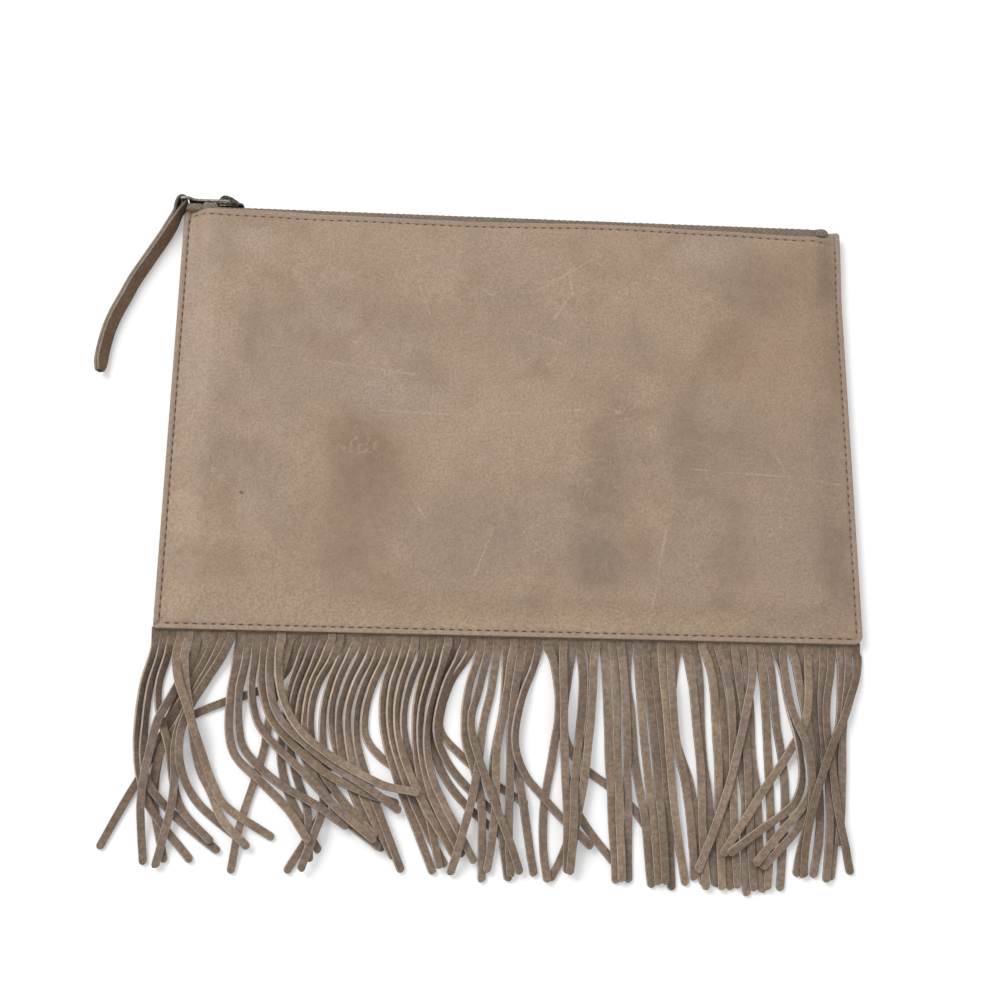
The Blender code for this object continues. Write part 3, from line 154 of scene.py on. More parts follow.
# One soft-edged stain or light place: an oval about a middle, turned, with a ragged rim
takes = {"Place": (0, 0, 0), "Middle": (0, 0, 0), "Reach": (0.02, 0.02, 1), "Turn": 0.0, "Strength": 1.0}
stain, come, go = effect("stain", takes, "Mask")
off = steer(stain, "SUBTRACT", come["Place"], come["Middle"])
spun = place(stain, "VectorRotate", {"Vector": off, "Angle": come["Turn"]}, rotation_type="Z_AXIS")
near = steer(stain, "DIVIDE", spun[0], come["Reach"])
far = steer(stain, "LENGTH", steer(stain, "MULTIPLY", near, (1, 1, 0)))
rag = ranged(stain, noisy(stain, come["Place"], 24.0, 2.5)[0], 0.3, 0.7, -0.3, 0.3)
oval = ranged(stain, reckon(stain, "ADD", far, rag), 1.15, 0.1)
stain.links.new(reckon(stain, "MULTIPLY", oval, come["Strength"]), go["Mask"])

# A straight hairline scratch or vein from one point to another
takes = {"Place": (0, 0, 0), "From": (0, 0, 0), "To": (0.01, 0, 0), "Width": 0.0004}
scratch, come, go = effect("scratch", takes, "Mask")
bend = noisy(scratch, come["Place"], 60.0, 2.0)
shake = steer(scratch, "SCALE", steer(scratch, "SUBTRACT", bend[1], (0.5, 0.5, 0.5)), 0.0015)
level = steer(scratch, "MULTIPLY", steer(scratch, "ADD", come["Place"], shake), (1, 1, 0))
start = steer(scratch, "SUBTRACT", level, come["From"])
whole = steer(scratch, "SUBTRACT", come["To"], come["From"])
dot = steer(scratch, "DOT_PRODUCT", start, whole)
share = reckon(scratch, "DIVIDE", dot, steer(scratch, "DOT_PRODUCT", whole, whole), capped=True)
gap = steer(scratch, "DISTANCE", start, steer(scratch, "SCALE", whole, share))
line = ranged(scratch, reckon(scratch, "DIVIDE", gap, come["Width"]), 1.0, 0.0)
scratch.links.new(reckon(scratch, "MULTIPLY", line, ranged(scratch, bend[0], 0.36, 0.58)), go["Mask"])

# Grain of a hide: fine pebbles with soft wrinkles between them
grain, come, go = effect("grain", {"Place": (0, 0, 0), "Size": 0.001}, "Height", "Pore")
scale = reckon(grain, "DIVIDE", 1.0, come["Size"])
inputs = {"Vector": come["Place"], "Scale": scale, "Smoothness": 0.8}
pebble = place(grain, "TexVoronoi", inputs, feature="SMOOTH_F1", voronoi_dimensions="2D")
speck = noisy(grain, come["Place"], scale, 5.0, 0.7)
grain.links.new(reckon(grain, "ADD", reckon(grain, "MULTIPLY", pebble[0], -0.5), speck[0]), go["Height"])
grain.links.new(ranged(grain, speck[0], 0.40, 0.60), go["Pore"])

# Veins: the fine net of creases left in the hide, showing in some places only
veins, come, go = effect("veins", {"Place": (0, 0, 0), "Size": 0.02, "Width": 0.02}, "Mask")
scale = reckon(veins, "DIVIDE", 1.0, come["Size"])
pull = steer(veins, "SCALE", noisy(veins, come["Place"], scale, 3.0)[1], 0.035)
bent = steer(veins, "ADD", come["Place"], pull)
net = place(veins, "TexVoronoi", {"Vector": bent, "Scale": scale}, feature="DISTANCE_TO_EDGE")
hair = ranged(veins, reckon(veins, "DIVIDE", net[0], come["Width"]), 1.0, 0.0)
seen = ranged(veins, noisy(veins, come["Place"], 33.0, 3.0)[0], 0.5, 0.66)
veins.links.new(reckon(veins, "MULTIPLY", hair, seen), go["Mask"])

HIDE = (0.434, 0.312, 0.222, 1)
HIDE_PALE = (0.470, 0.350, 0.255, 1)
HIDE_DEEP = (0.290, 0.200, 0.134, 1)
HIDE_GREY = (0.375, 0.280, 0.212, 1)
MARGIN_TONE = (0.385, 0.288, 0.228, 1)
# Painted shade: the dark tone laid into the seam grooves and creases, where shade falls.
GROOVE_SHADE_TONE = (0.150, 0.098, 0.062, 1)
# Painted shade: the dark tone laid on the rolled rim of each panel.
RIM_SHADE_TONE = (0.200, 0.146, 0.108, 1)
VEIN_TONE = (0.56, 0.43, 0.31, 1)
PORE_TONE = (0.240, 0.165, 0.110, 1)
RUBBED_TONE = (0.53, 0.41, 0.31, 1)


def leather(name):
    """The worn hide's clouded tone, before its stains and its surface."""
    finish, tree, skin, spot = finish_of(name, 0.6)
    tone = HIDE
    for size, low, high, share, to in (
        (0.05, 0.40, 0.66, 0.8, HIDE_GREY),
        (0.018, 0.50, 0.75, 0.6, HIDE_PALE),
        (0.026, 0.52, 0.74, 0.5, HIDE_DEEP),
        (0.007, 0.50, 0.72, 0.14, HIDE_DEEP),
    ):
        tone = tinted(tree, tone, use(tree, clouds, spot, Size=size, Low=low, High=high)["Mask"], share, to)
    return finish, tree, skin, spot, tone


def leather_surface(tree, skin, spot, tone):
    """Closes a leather: its margin tone, painted shade in its seam grooves and on its rolled rim, veins, pores
    and grain over the tone already mixed.
    """
    lines = use(tree, veins, spot, Size=0.022, Width=0.018)["Mask"]
    margin_and_shade = place(tree, "Attribute", {}, attribute_name="seam")
    part = place(tree, "SeparateColor", {"Color": margin_and_shade["Color"]})
    fine = use(tree, grain, spot, Size=0.0011)
    coarse = use(tree, grain, spot, Size=0.0036)
    # The seam attribute holds the margin, painted shade in the seam grooves and creases, and painted shade on
    # the rolled rim.
    for mask, share, to in (
        (lines, 0.42, VEIN_TONE),
        (part[0], 0.6, MARGIN_TONE),
        (part[1], 0.8, GROOVE_SHADE_TONE),
        (part[2], 1.0, RIM_SHADE_TONE),
        (fine["Pore"], 0.52, PORE_TONE),
        (coarse["Pore"], 0.10, RUBBED_TONE),
    ):
        tone = tinted(tree, tone, mask, share, to)
    tree.links.new(tone, skin.inputs["Base Color"])
    rough = use(tree, clouds, spot, Size=0.012, Low=0.3, High=0.7)["Mask"]
    tree.links.new(ranged(tree, rough, 0.0, 1.0, 0.52, 0.72), skin.inputs["Roughness"])
    skin.inputs["Specular IOR Level"].default_value = 0.3
    height = reckon(tree, "ADD", fine["Height"], reckon(tree, "MULTIPLY", coarse["Height"], 1.4))
    height = reckon(tree, "ADD", height, reckon(tree, "MULTIPLY", lines, -0.6))
    bumped(tree, skin, height, 0.6, 0.00028)


back_leather, tree, skin, spot, tone = leather("back_leather")
leather_surface(tree, skin, spot, tone)


def shown(name, data):
    """An object of the scene that holds a mesh, a light or a camera."""
    obj = bpy.data.objects.new(name, data)
    bpy.context.scene.collection.objects.link(obj)
    return obj


def piece(name, verts, faces, finishes, body, stands_for=(), smooth=True):
    """A closed piece from points and faces, riding on its body."""
    mesh = bpy.data.meshes.new(name)
    mesh.from_pydata([tuple(v) for v in verts], [], faces)
    for finish in finishes:
        mesh.materials.append(finish)
    bm = bmesh.new()
    bm.from_mesh(mesh)
    bmesh.ops.recalc_face_normals(bm, faces=bm.faces)
    bm.to_mesh(mesh)
    bm.free()
    mesh.polygons.foreach_set("use_smooth", [smooth] * len(mesh.polygons))
    obj = shown(name, mesh)
    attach(obj, body)
    if stands_for:
        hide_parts(*stands_for)
    return obj


def ease(t):
    t = min(1.0, max(0.0, t))
    return t * t * (3.0 - 2.0 * t)


def along(pairs, x):
    """The value at x on the smooth line through (x, value) pairs."""
    for (xa, va), (xb, vb) in zip(pairs, pairs[1:]):
        if x <= xb:
            return va + (vb - va) * ease((x - xa) / (xb - xa))
    return pairs[-1][1]


def round_off(d, r):
    """How far an edge rounded at r falls away at a distance d inside it."""
    return r - math.sqrt(max(0.0, r * r - (r - d) ** 2)) if d < r else 0.0


EDGE_STEPS = [0.0, 0.08, 0.22, 0.42, 0.7, 1.1, 1.5, 1.9, 2.2, 2.5]
EDGE_STEPS += [2.8, 3.1, 3.5, 4.0, 4.8, 5.8, 7.0, 8.4, 10.0]


def ruled(length, step):
    """Stations across a length, close together at both edges where the seams lie."""
    ends = [d * MM for d in EDGE_STEPS]
    count = max(2, round((length - 2 * ends[-1]) / step))
    inner = list(np.linspace(ends[-1], length - ends[-1], count))[1:-1]
    return ends + inner + [length - d for d in ends[::-1]]


def out_of_square(x, y):
    """How much further out the hide reaches towards its right edge, most of all at the zip's far end."""
    return (1.5 + 1.0 * ease((y / MM - 60.0) / 38.0)) * MM * ease((x / MM - 125.0) / 27.0)


def sheet_faces(nx, ny):
    """Faces of a closed sheet: a grid of points below, the same grid above it, and the rim between them."""
    n = nx * ny
    faces = []
    for j in range(ny - 1):
        for i in range(nx - 1):
            a = j * nx + i
            faces.append((a, a + nx, a + nx + 1, a + 1))
            faces.append((a + n, a + 1 + n, a + nx + 1 + n, a + nx + n))
    rim = list(range(nx)) + [j * nx + nx - 1 for j in range(1, ny)]
    rim += [(ny - 1) * nx + i for i in range(nx - 2, -1, -1)] + [j * nx for j in range(ny - 2, 0, -1)]
    return faces + [(a, b, b + n, a + n) for a, b in zip(rim, rim[1:] + rim[:1])]


def panel(name, stands_for, top_y, low_z, top_z, margin_and_shade, step, finish):
    """A leather panel over its outline, from the face below to the face above it."""
    xs = [x - HALF_W for x in ruled(2 * HALF_W, step)]
    tall = BACK_TOP_Y - BOTTOM_Y
    flat = []
    for v in ruled(tall, step):
        flat += [(x, low_edge(x) + (top_y(x) - low_edge(x)) * v / tall) for x in xs]
    verts = []
    for z_at, way in ((low_z, 1.0), (top_z, -1.0)):
        for x, y in flat:
            fall = round_off(min(HALF_W - abs(x), y - low_edge(x), top_y(x) - y), EDGE_R)
            verts.append((x + out_of_square(x, y), y, z_at(x, y) + way * fall))
    faces = sheet_faces(len(xs), len(flat) // len(xs))
    obj = piece(name, verts, faces, [finish], "pouch", stands_for)
    layer = obj.data.color_attributes.new("seam", "FLOAT_COLOR", "POINT")
    tints = [margin_and_shade(x, y) + (1.0,) for x, y in flat * 2]
    layer.data.foreach_set("color", np.array(tints, np.float32).ravel())


def low_edge(x):
    return BOTTOM_Y + round_off(HALF_W - abs(x), CORNER_R if x < 0 else LOW_RIGHT_R)


def back_top(x):
    return BACK_TOP_Y - round_off(HALF_W - abs(x), CORNER_R)


def near_line(d, at, wide):
    """1 on a line at a distance inside the edge, falling off to both sides."""
    return math.exp(-(((d - at) / wide) ** 2))


def groove(d):
    """How deep the seam thread pulls the leather down at a distance d inside an edge."""
    return SEAM_DEEP * near_line(d, SEAM_IN, SEAM_SPREAD)


def back_face(x, y):
    return max(groove(HALF_W - abs(x)), groove(y - low_edge(x)))


def margin(d):
    """1 outside the seam, easing to 0 just inside it."""
    return 1.0 - ease((d - 2.0 * MM) / (0.8 * MM))


def rim_shade(d):
    """Painted shade on the rolled rim: strongest on the cut edge, gone 0.4 mm inside it."""
    return 0.8 * (1.0 - ease(d / (0.4 * MM)))


def back_margin_and_shade(x, y):
    """Margin outside the seam, painted shade on the seam line, and painted shade on the rolled cut edge, each
    from 0 to 1.
    """
    d = min(HALF_W - abs(x), y - low_edge(x))
    return margin(d), 0.5 * near_line(d, SEAM_IN, 0.4 * MM), rim_shade(d)


def back_inside(x, y):
    return LEATHER_T


back_faces = (back_face, back_inside, back_margin_and_shade)
panel("back_panel_leather", ["back_panel"], back_top, *back_faces, BACK_STEP, back_leather)

# Front panel: the same leather, stuffed slightly by the lining and the zip behind it.
# Its edges are pressed down onto the seams, its mouth edge wavers, and its hide is stained and scratched.
SEAM_Z = 3.6 * MM
SEAM_FLAT = 3.0 * MM
PUFF_RAMP = 16.0 * MM
PUFF = 4.0 * MM
MOUTH_EXTRA = 1.2 * MM
MOUTH_FROM_Y = 50.0 * MM
MOUTH_RAMP = 30.0 * MM
PINCH_FROM_X = 139.5 * MM
PINCH_RAMP = 9.5 * MM
FRONT_STEP = 1.7 * MM
CORNER_SEAM = 3.1 * MM
MOUTH_EDGE = [(-152.5, 99.9), (-150.0, 100.4), (-147.0, 99.7), (-143.0, 99.3), (-138.0, 99.0)]
MOUTH_EDGE += [(-120.0, 98.9), (-85.0, 97.8), (-20.0, 97.1), (45.0, 98.1), (95.0, 97.0), (135.0, 95.9)]
MOUTH_EDGE += [(142.0, 96.2), (146.0, 97.4), (147.6, 100.6), (152.5, 101.2)]


def pinch(x):
    return ease((abs(x) - PINCH_FROM_X) / PINCH_RAMP)


def inner_z(x, y):
    """The front panel's inner face, pressed flat at the seams and raised over the zip."""
    mouth = ease((y - MOUTH_FROM_Y) / MOUTH_RAMP)
    low = ease((y - BOTTOM_Y - SEAM_FLAT) / PUFF_RAMP)
    side = ease((HALF_W - abs(x) - SEAM_FLAT) / PUFF_RAMP)
    side = side * (1.0 - mouth) + (1.0 - pinch(x)) * mouth
    return SEAM_Z + low * side * (PUFF + MOUTH_EXTRA * mouth)


def front_top(x):
    return along(MOUTH_EDGE, x / MM) * MM - round_off(HALF_W - abs(x), CORNER_R)


# Folds pressed into the hide, each from one point to another with a width and a height, in mm
FOLDS = [
    ((-112, 66), (-119, 4), 5.0, -0.37),
    ((132, -92), (152, -74), 3.0, -0.59),
    ((138, -95), (151, -83), 2.5, 0.51),
    ((-90, 10), (-90, -60), 7.0, -0.27),
    ((72, -44), (60, -92), 4.0, 0.27),
    ((34, -60), (36, 20), 10.0, -0.27),
    ((-8, -44), (-26, -96), 6.0, -0.22),
]


def drift(a, b, c):
    """A smooth wander between about -1 and 1."""
    return noise.noise(Vector((a, b, c)))


def waves(x, y):
    """Slow swells of the leather over what is inside it, and its pressed folds."""
    inside = ease((min(HALF_W - abs(x), y - BOTTOM_Y, front_top(x) - y) - 4 * MM) / (14 * MM))
    at = Vector((x / (44 * MM), y / (52 * MM), 0.3))
    swell = 0.42 * drift(*at) + 0.14 * drift(*(at * 2.7))
    for (xa, ya), (xb, yb), wide, high in FOLDS:
        px, py = x / MM - xa, y / MM - ya
        dx, dy = xb - xa, yb - ya
        t = min(1.0, max(0.0, (px * dx + py * dy) / (dx * dx + dy * dy)))
        far = math.hypot(px - t * dx, py - t * dy)
        swell += high * math.exp(-((far / wide) ** 2)) * max(inside, 0.5)
    return swell * MM * max(inside, 0.15)


# How far inside the mouth edge its row of stitches runs, which wanders near both ends of the zip
TOP_SEAM = [(-152.5, 3.4), (-150.0, 3.9), (-147.0, 2.5), (-144.5, 2.5), (-139.8, 3.0), (-132.0, 3.3)]
TOP_SEAM += [(-120.0, 3.4), (-60.0, 2.7), (100.0, 2.3), (140.0, 2.4), (146.0, 3.0), (147.6, 6.0)]
TOP_SEAM += [(152.5, 6.0)]


def top_in(x):
    return along(TOP_SEAM, x / MM) * MM


def front_face(x, y):
    """The outer face: the stuffed shape with its swells, drawn down along the seams."""
    side, low, top = HALF_W - abs(x), y - low_edge(x), front_top(x) - y
    pull = max(groove(side), groove(low), groove(top - top_in(x) + SEAM_IN))
    if min(side, low, top) < SEAM_IN - 0.8 * MM:
        pull = groove(min(side, low, top))
    if x < 0 and top < 6 * MM:
        pull += 0.5 * MM * near_line(side, CORNER_SEAM, 0.4 * MM) * ease((top - 0.1 * MM) / MM)
    if x < 0 and low < 7 * MM:
        pull += 0.45 * MM * near_line(low - 1.1 * side, 0.4 * MM, 0.9 * MM) * ease((5 * MM - side) / MM)
    return inner_z(x, y) + LEATHER_T + waves(x, y) - pull


def front_margin_and_shade(x, y):
    """Margin outside the seams, painted shade in the seam grooves and corner creases, and painted shade on the
    rolled cut edge, each from 0 to 1.
    """
    side, low, top = HALF_W - abs(x), y - low_edge(x), front_top(x) - y
    # Painted shade along the seam grooves, and in the creases at the top left and bottom left corners.
    lines = max(near_line(low, SEAM_IN, 0.35 * MM), near_line(top, top_in(x), 0.35 * MM))
    dark = 0.55 * lines * (side > SEAM_IN - 0.3 * MM)
    if top > 2 * MM and low > 2 * MM:
        dark = max(dark, (1.0 if x < 0 else 0.6) * near_line(side, SEAM_IN, 0.38 * MM))
    if x < 0 and top < 6 * MM:
        dark = max(dark, 0.8 * near_line(side, CORNER_SEAM, 0.3 * MM) * ease((4.5 * MM - top) / MM))
    if x < 0 and low < 7 * MM and side < 5 * MM:
        dark = max(dark, 0.8 * near_line(low - 1.1 * side, 0.4 * MM, 0.45 * MM))
    return margin(min(side, low, top - top_in(x) + SEAM_IN)), dark, rim_shade(min(side, low, top))


# Stains and light places of this hide: middle, reach across and along, turn, tone and strength
STAINS = [
    ((-72, -34), (31, 67), 0.05, (0.244, 0.162, 0.105, 1), 0.60),
    ((-70, -28), (17, 20), 0.3, (0.227, 0.151, 0.098, 1), 0.50),
    ((-55, -78), (16, 13), 0, (0.283, 0.188, 0.122, 1), 0.45),
    ((45, -30), (25, 70), 0.08, (0.222, 0.158, 0.115, 1), 0.60),
    ((39, -66), (16, 17), 0, (0.194, 0.140, 0.106, 1), 0.50),
    ((58, -57), (13, 16), 0.2, (0.255, 0.170, 0.110, 1), 0.50),
    ((76, -4), (17, 38), -0.2, (0.236, 0.172, 0.106, 1), 0.58),
    ((98, -58), (16, 55), 0.03, (0.245, 0.172, 0.123, 1), 0.53),
    ((98, 39), (14, 18), 0.2, (0.241, 0.160, 0.104, 1), 0.63),
    ((124, 38), (44, 36), 0.2, (0.368, 0.245, 0.158, 1), 0.55),
    ((137, 76), (31, 20), -0.35, (0.312, 0.207, 0.134, 1), 0.63),
    ((151, 42), (9, 72), 0, (0.236, 0.157, 0.101, 1), 0.60),
    ((103, 66), (22, 18), 0, (0.260, 0.186, 0.136, 1), 0.48),
    ((146, -70), (16, 38), -0.5, (0.222, 0.158, 0.119, 1), 0.50),
    ((-128, -70), (22, 11), 0.1, (0.293, 0.195, 0.126, 1), 0.50),
    ((-129, -28), (10, 31), 0.05, (0.283, 0.208, 0.136, 1), 0.40),
    ((-115, 34), (8, 41), -0.11, (0.283, 0.213, 0.145, 1), 0.50),
    ((-8, -60), (62, 29), 0, (0.283, 0.217, 0.170, 1), 0.42),
    ((-24, 48), (60, 18), 0, (0.316, 0.222, 0.162, 1), 0.35),
    ((-62, 60), (31, 24), 0.2, (0.312, 0.222, 0.153, 1), 0.35),
    ((118, -14), (42, 26), 0, (0.283, 0.201, 0.145, 1), 0.42),
    ((-145, 30), (18, 80), 0, (0.444, 0.337, 0.264, 1), 0.73),
    ((-116, 84), (18, 13), 0, (0.491, 0.385, 0.297, 1), 0.67),
    ((-55, 12), (31, 15), 0, (0.453, 0.357, 0.285, 1), 0.61),
    ((4, -5), (53, 25), 0, (0.467, 0.348, 0.246, 1), 0.55),
    ((-35, 66), (26, 15), 0, (0.491, 0.367, 0.264, 1), 0.49),
    ((88, 84), (16, 9), 0, (0.472, 0.371, 0.289, 1), 0.61),
    ((-20, 78), (96, 12), 0, (0.425, 0.319, 0.238, 1), 0.42),
    ((-100, -90), (72, 9), 0, (0.500, 0.376, 0.264, 1), 0.73),
    ((30, -92), (79, 7), 0, (0.500, 0.376, 0.246, 1), 0.67),
    ((97, -91), (19, 7), 0, (0.491, 0.367, 0.238, 1), 0.61),
    ((122, -70), (17, 34), 0.2, (0.406, 0.299, 0.234, 1), 0.55),
    ((-104, -14), (17, 46), 0, (0.406, 0.312, 0.246, 1), 0.42),
]

# Scratches and veins that stand out singly: from, to, and width in mm
SCRATCHES = [
    ((-58, 1.5), (-20, 0.5), 0.55),
    ((-20, 0.5), (33, 5), 0.5),
    ((-12, 60), (23, 70), 0.6),
    ((10, 62), (36, 79), 0.5),
    ((26, 77), (27, 62), 0.5),
    ((27, 62), (19, 49), 0.5),
    ((67, 25), (71, 22), 0.6),
    ((71, 22), (70, 16), 0.6),
    ((70, 16), (65, 13), 0.5),
    ((-43, 63), (-38, 50), 0.6),
    ((-46, -36), (-38, -48), 0.6),
    ((116, -10), (124, -24), 0.6),
    ((119, -34), (119, -48), 0.5),
    ((80, -22), (148, -26), 0.45),
    ((108, -77), (117, -77), 0.6),
    ((-120, -41), (-113, -38), 0.6),
    ((-98, 26), (-30, 18), 0.45),
    ((-92, 42), (-70, 34), 0.4),
    ((-30, 72), (-6, 58), 0.45),
    ((2, 44), (30, 34), 0.4),
    ((71, -36), (60, -92), 0.7),
    ((58, 74), (96, 60), 0.45),
    ((-66, 14), (-50, 22), 0.4),
    ((-8, -52), (-16, -74), 0.5),
]
SCRATCH_TONE = (0.60, 0.47, 0.35, 1)
SPOT_TONE = (0.05, 0.035, 0.025, 1)

front_leather, tree, skin, spot, tone = leather("front_leather")
for (x, y), (rx, ry), turn, colour, strength in STAINS:
    middle, reach = (x * MM, y * MM, 0), (rx * MM, ry * MM, 1)
    mask = use(tree, stain, spot, Middle=middle, Reach=reach, Turn=turn, Strength=strength)["Mask"]
    tone = mixed(tree, mask, tone, colour)
for (xa, ya), (xb, yb), wide in SCRATCHES:
    ends = {"From": (xa * MM, ya * MM, 0), "To": (xb * MM, yb * MM, 0)}
    mask = use(tree, scratch, spot, **ends, Width=1.5 * wide * MM)["Mask"]
    tone = tinted(tree, tone, mask, 0.5, SCRATCH_TONE)
middle, reach = (-118.2 * MM, -38.8 * MM, 0), (1.2 * MM, 0.8 * MM, 1)
mask = use(tree, stain, spot, Middle=middle, Reach=reach, Turn=0.5, Strength=0.9)["Mask"]
leather_surface(tree, skin, spot, mixed(tree, mask, tone, SPOT_TONE))


def front_inside(x, y):
    return inner_z(x, y) + min(0.0, waves(x, y))


front_faces = (front_inside, front_face, front_margin_and_shade)
panel("front_panel_leather", ["front_panel"], front_top, *front_faces, FRONT_STEP, front_leather)

# Seams: one row of stitches inside every edge of the front and along the sewn edges of the back.
# The thread is dark olive brown, thick for its length, and each stitch dives into the leather at both ends.
STITCH_PITCH = 3.9 * MM
STITCH_TOP = 2.3 * MM
STITCH_LOW = 2.8 * MM
STITCH_SIDE = 3.1 * MM
STITCH_DIVE = 0.45 * MM
THREAD_R = 0.28 * MM
THREAD_DARK = (0.052, 0.034, 0.020, 1)
THREAD_PALE = (0.125, 0.085, 0.052, 1)
thread, tree, skin, spot = finish_of("seam_thread", 0.75)
twist = noisy(tree, spot, 1500.0, 2.0)[0]
tree.links.new(mixed(tree, twist, THREAD_DARK, THREAD_PALE), skin.inputs["Base Color"])
bumped(tree, skin, twist, 0.5, 0.0001)


def ring_box(verts, faces, rings):
    """Closes a run of rings, each of the same number of points, into a solid."""
    n = len(rings[0])
    first, last = len(verts), len(verts) + (len(rings) - 1) * n
    for ring in rings:
        verts += ring
    for start in range(first, last, n):
        for i in range(n):
            a, b = start + i, start + (i + 1) % n
            faces.append((a, b, b + n, a + n))
    faces.append(tuple(range(first, first + n))[::-1])
    faces.append(tuple(range(last, last + n)))


def stitch(verts, faces, middle, way, up, length):
    """One stitch: a short thread that rises out of its hole, lies on the leather and goes down again."""
    side = way.cross(up).normalized()
    rings = []
    for i in range(7):
        t = i / 6 * 2 - 1
        thick = THREAD_R * (1.0 - 0.35 * abs(t) ** 4)
        centre = middle + way * (t * length / 2) + up * (THREAD_R * 0.35 - STITCH_DIVE * abs(t) ** 3)
        ring = []
        for k in range(6):
            a = math.pi * 2 * k / 6
            ring.append(centre + side * math.cos(a) * thick + up * math.sin(a) * thick * 0.8)
        rings.append(ring)
    ring_box(verts, faces, rings)


def sew(name, rows, face, up):
    """Stitches of each row's own length along its line of points, lying on a face."""
    verts, faces = [], []
    count = 0
    for line, long in rows:
        run = [0.0]
        for a, b in zip(line, line[1:]):
            run.append(run[-1] + math.dist(a, b))
        number = int(run[-1] / STITCH_PITCH)
        for k in range(number):
            s = (k + 0.5) * run[-1] / number
            ends = []
            for at in (s - 0.4 * long, s + 0.4 * long):
                x = float(np.interp(at, run, [p[0] for p in line]))
                y = float(np.interp(at, run, [p[1] for p in line]))
                ends.append(Vector((x, y, face(x, y))))
            count += 1
            way = (ends[1] - ends[0]).normalized()
            middle = (ends[0] + ends[1]) / 2 + way.cross(up) * (0.12 * MM * drift(count * 0.73, 1.7, 0))
            middle.x += out_of_square(middle.x, middle.y)
            stitch(verts, faces, middle, way, up, long * (0.95 + 0.12 * drift(count * 0.61, 0.3, 0)))
    piece(name, verts, faces, [thread], "pouch")


side_x = HALF_W - SEAM_IN
low_y = BOTTOM_Y + SEAM_IN
top_row = [(x * MM, front_top(x * MM) - top_in(x * MM)) for x in range(-149, 147, 3)]
left_row = [(-side_x, 96.0 * MM), (-side_x, low_y + 1.5 * MM)]
right_row = [(side_x, 92.5 * MM), (side_x, low_y + 1.5 * MM)]
low_row = [(1.5 * MM - side_x, low_y), (side_x - 1.5 * MM, low_y)]
sewn_rows = [(left_row, STITCH_SIDE), (right_row, STITCH_TOP), (low_row, STITCH_LOW)]
sew("front_stitches", [(top_row, STITCH_TOP)] + sewn_rows, front_face, Vector((0, 0, 1)))
sew("back_stitches", sewn_rows, lambda x, y: back_face(x, y) + 0.12 * MM, Vector((0, 0, -1)))

# Linings: thin plain-woven cotton behind both panels, caught in the seams and sewn to the zip tape.
# They lie flat against the leather inside the closed pouch.
LINING_T = 0.5 * MM
LINING_HALF_W = 149.0 * MM
LINING_Y = (-92.0 * MM, 81.7 * MM)
LINING_GRID = (100, 60)

weave, come, go = effect("weave", {"Place": (0, 0, 0), "Pitch": 0.0006}, "Height", "Shade")
apart = place(weave, "SeparateXYZ", {"Vector": come["Place"]})
turn = reckon(weave, "DIVIDE", math.pi, come["Pitch"])
warp = reckon(weave, "SINE", reckon(weave, "MULTIPLY", apart[0], turn))
weft = reckon(weave, "SINE", reckon(weave, "MULTIPLY", reckon(weave, "ADD", apart[1], apart[2]), turn))
cross = reckon(weave, "MULTIPLY", warp, weft)
weave.links.new(reckon(weave, "ADD", reckon(weave, "MULTIPLY", cross, 0.5), 0.5), go["Height"])
fuzz = noisy(weave, come["Place"], 900.0, 3.0)[0]
cross = reckon(weave, "MULTIPLY", cross, 0.22)
weave.links.new(reckon(weave, "ADD", cross, fuzz, capped=True), go["Shade"])


def cloth(name, dark, light, pitch):
    """A woven cotton of two yarn tones."""
    finish, tree, skin, spot = finish_of(name, 0.92)
    knit = use(tree, weave, spot, Pitch=pitch)
    tree.links.new(mixed(tree, knit["Shade"], dark, light), skin.inputs["Base Color"])
    skin.inputs["Specular IOR Level"].default_value = 0.15
    bumped(tree, skin, knit["Height"], 0.7, 0.0002)
    return finish


lining_cloth = cloth("lining_cloth", (0.20, 0.165, 0.125, 1), (0.37, 0.32, 0.26, 1), 0.0007)


def lining(name, low_z, stands_for):
    """A flat cloth that follows a lower face."""
    xs = np.linspace(-LINING_HALF_W, LINING_HALF_W, LINING_GRID[0])
    ys = np.linspace(*LINING_Y, LINING_GRID[1])
    verts = [(x, y, low_z(x, y) + up) for up in (0.0, LINING_T) for y in ys for x in xs]
    piece(name, verts, sheet_faces(*LINING_GRID), [lining_cloth], "pouch", stands_for)


def back_lining_z(x, y):
    return LEATHER_T + 0.3 * MM + 0.12 * MM * (1 + drift(x * 30, y * 30, 5))


lining("front_lining_cloth", lambda x, y: inner_z(x, y) - 0.9 * MM - LINING_T, ["front_lining"])
lining("back_lining_cloth", back_lining_z, ["back_lining"])

# Zip tape: two halves of woven tape, each folded down inside its panel with the teeth on its edge.
# Both ends are turned under and stitched, so they show as a thick tuft of tape.
ZIP_Z = 5.0 * MM
ZIP_END_Z = 2.4 * MM
FOLD_HALF = 3.5 * MM
FOLD_HALF_END = 0.9 * MM
FOLD_FLAT = 1.2 * MM
TAPE_T = 0.55 * MM
TAPE_TOP_Y = 100.6 * MM
TAPE_LOW_Y = 82.0 * MM
TAPE_END_X = 149.0 * MM
TAPE_SOFT_R = 0.9 * MM
END_RISE = 1.8 * MM
tape_cloth = cloth("tape_cloth", (0.120, 0.092, 0.070, 1), (0.330, 0.268, 0.215, 1), 0.0011)


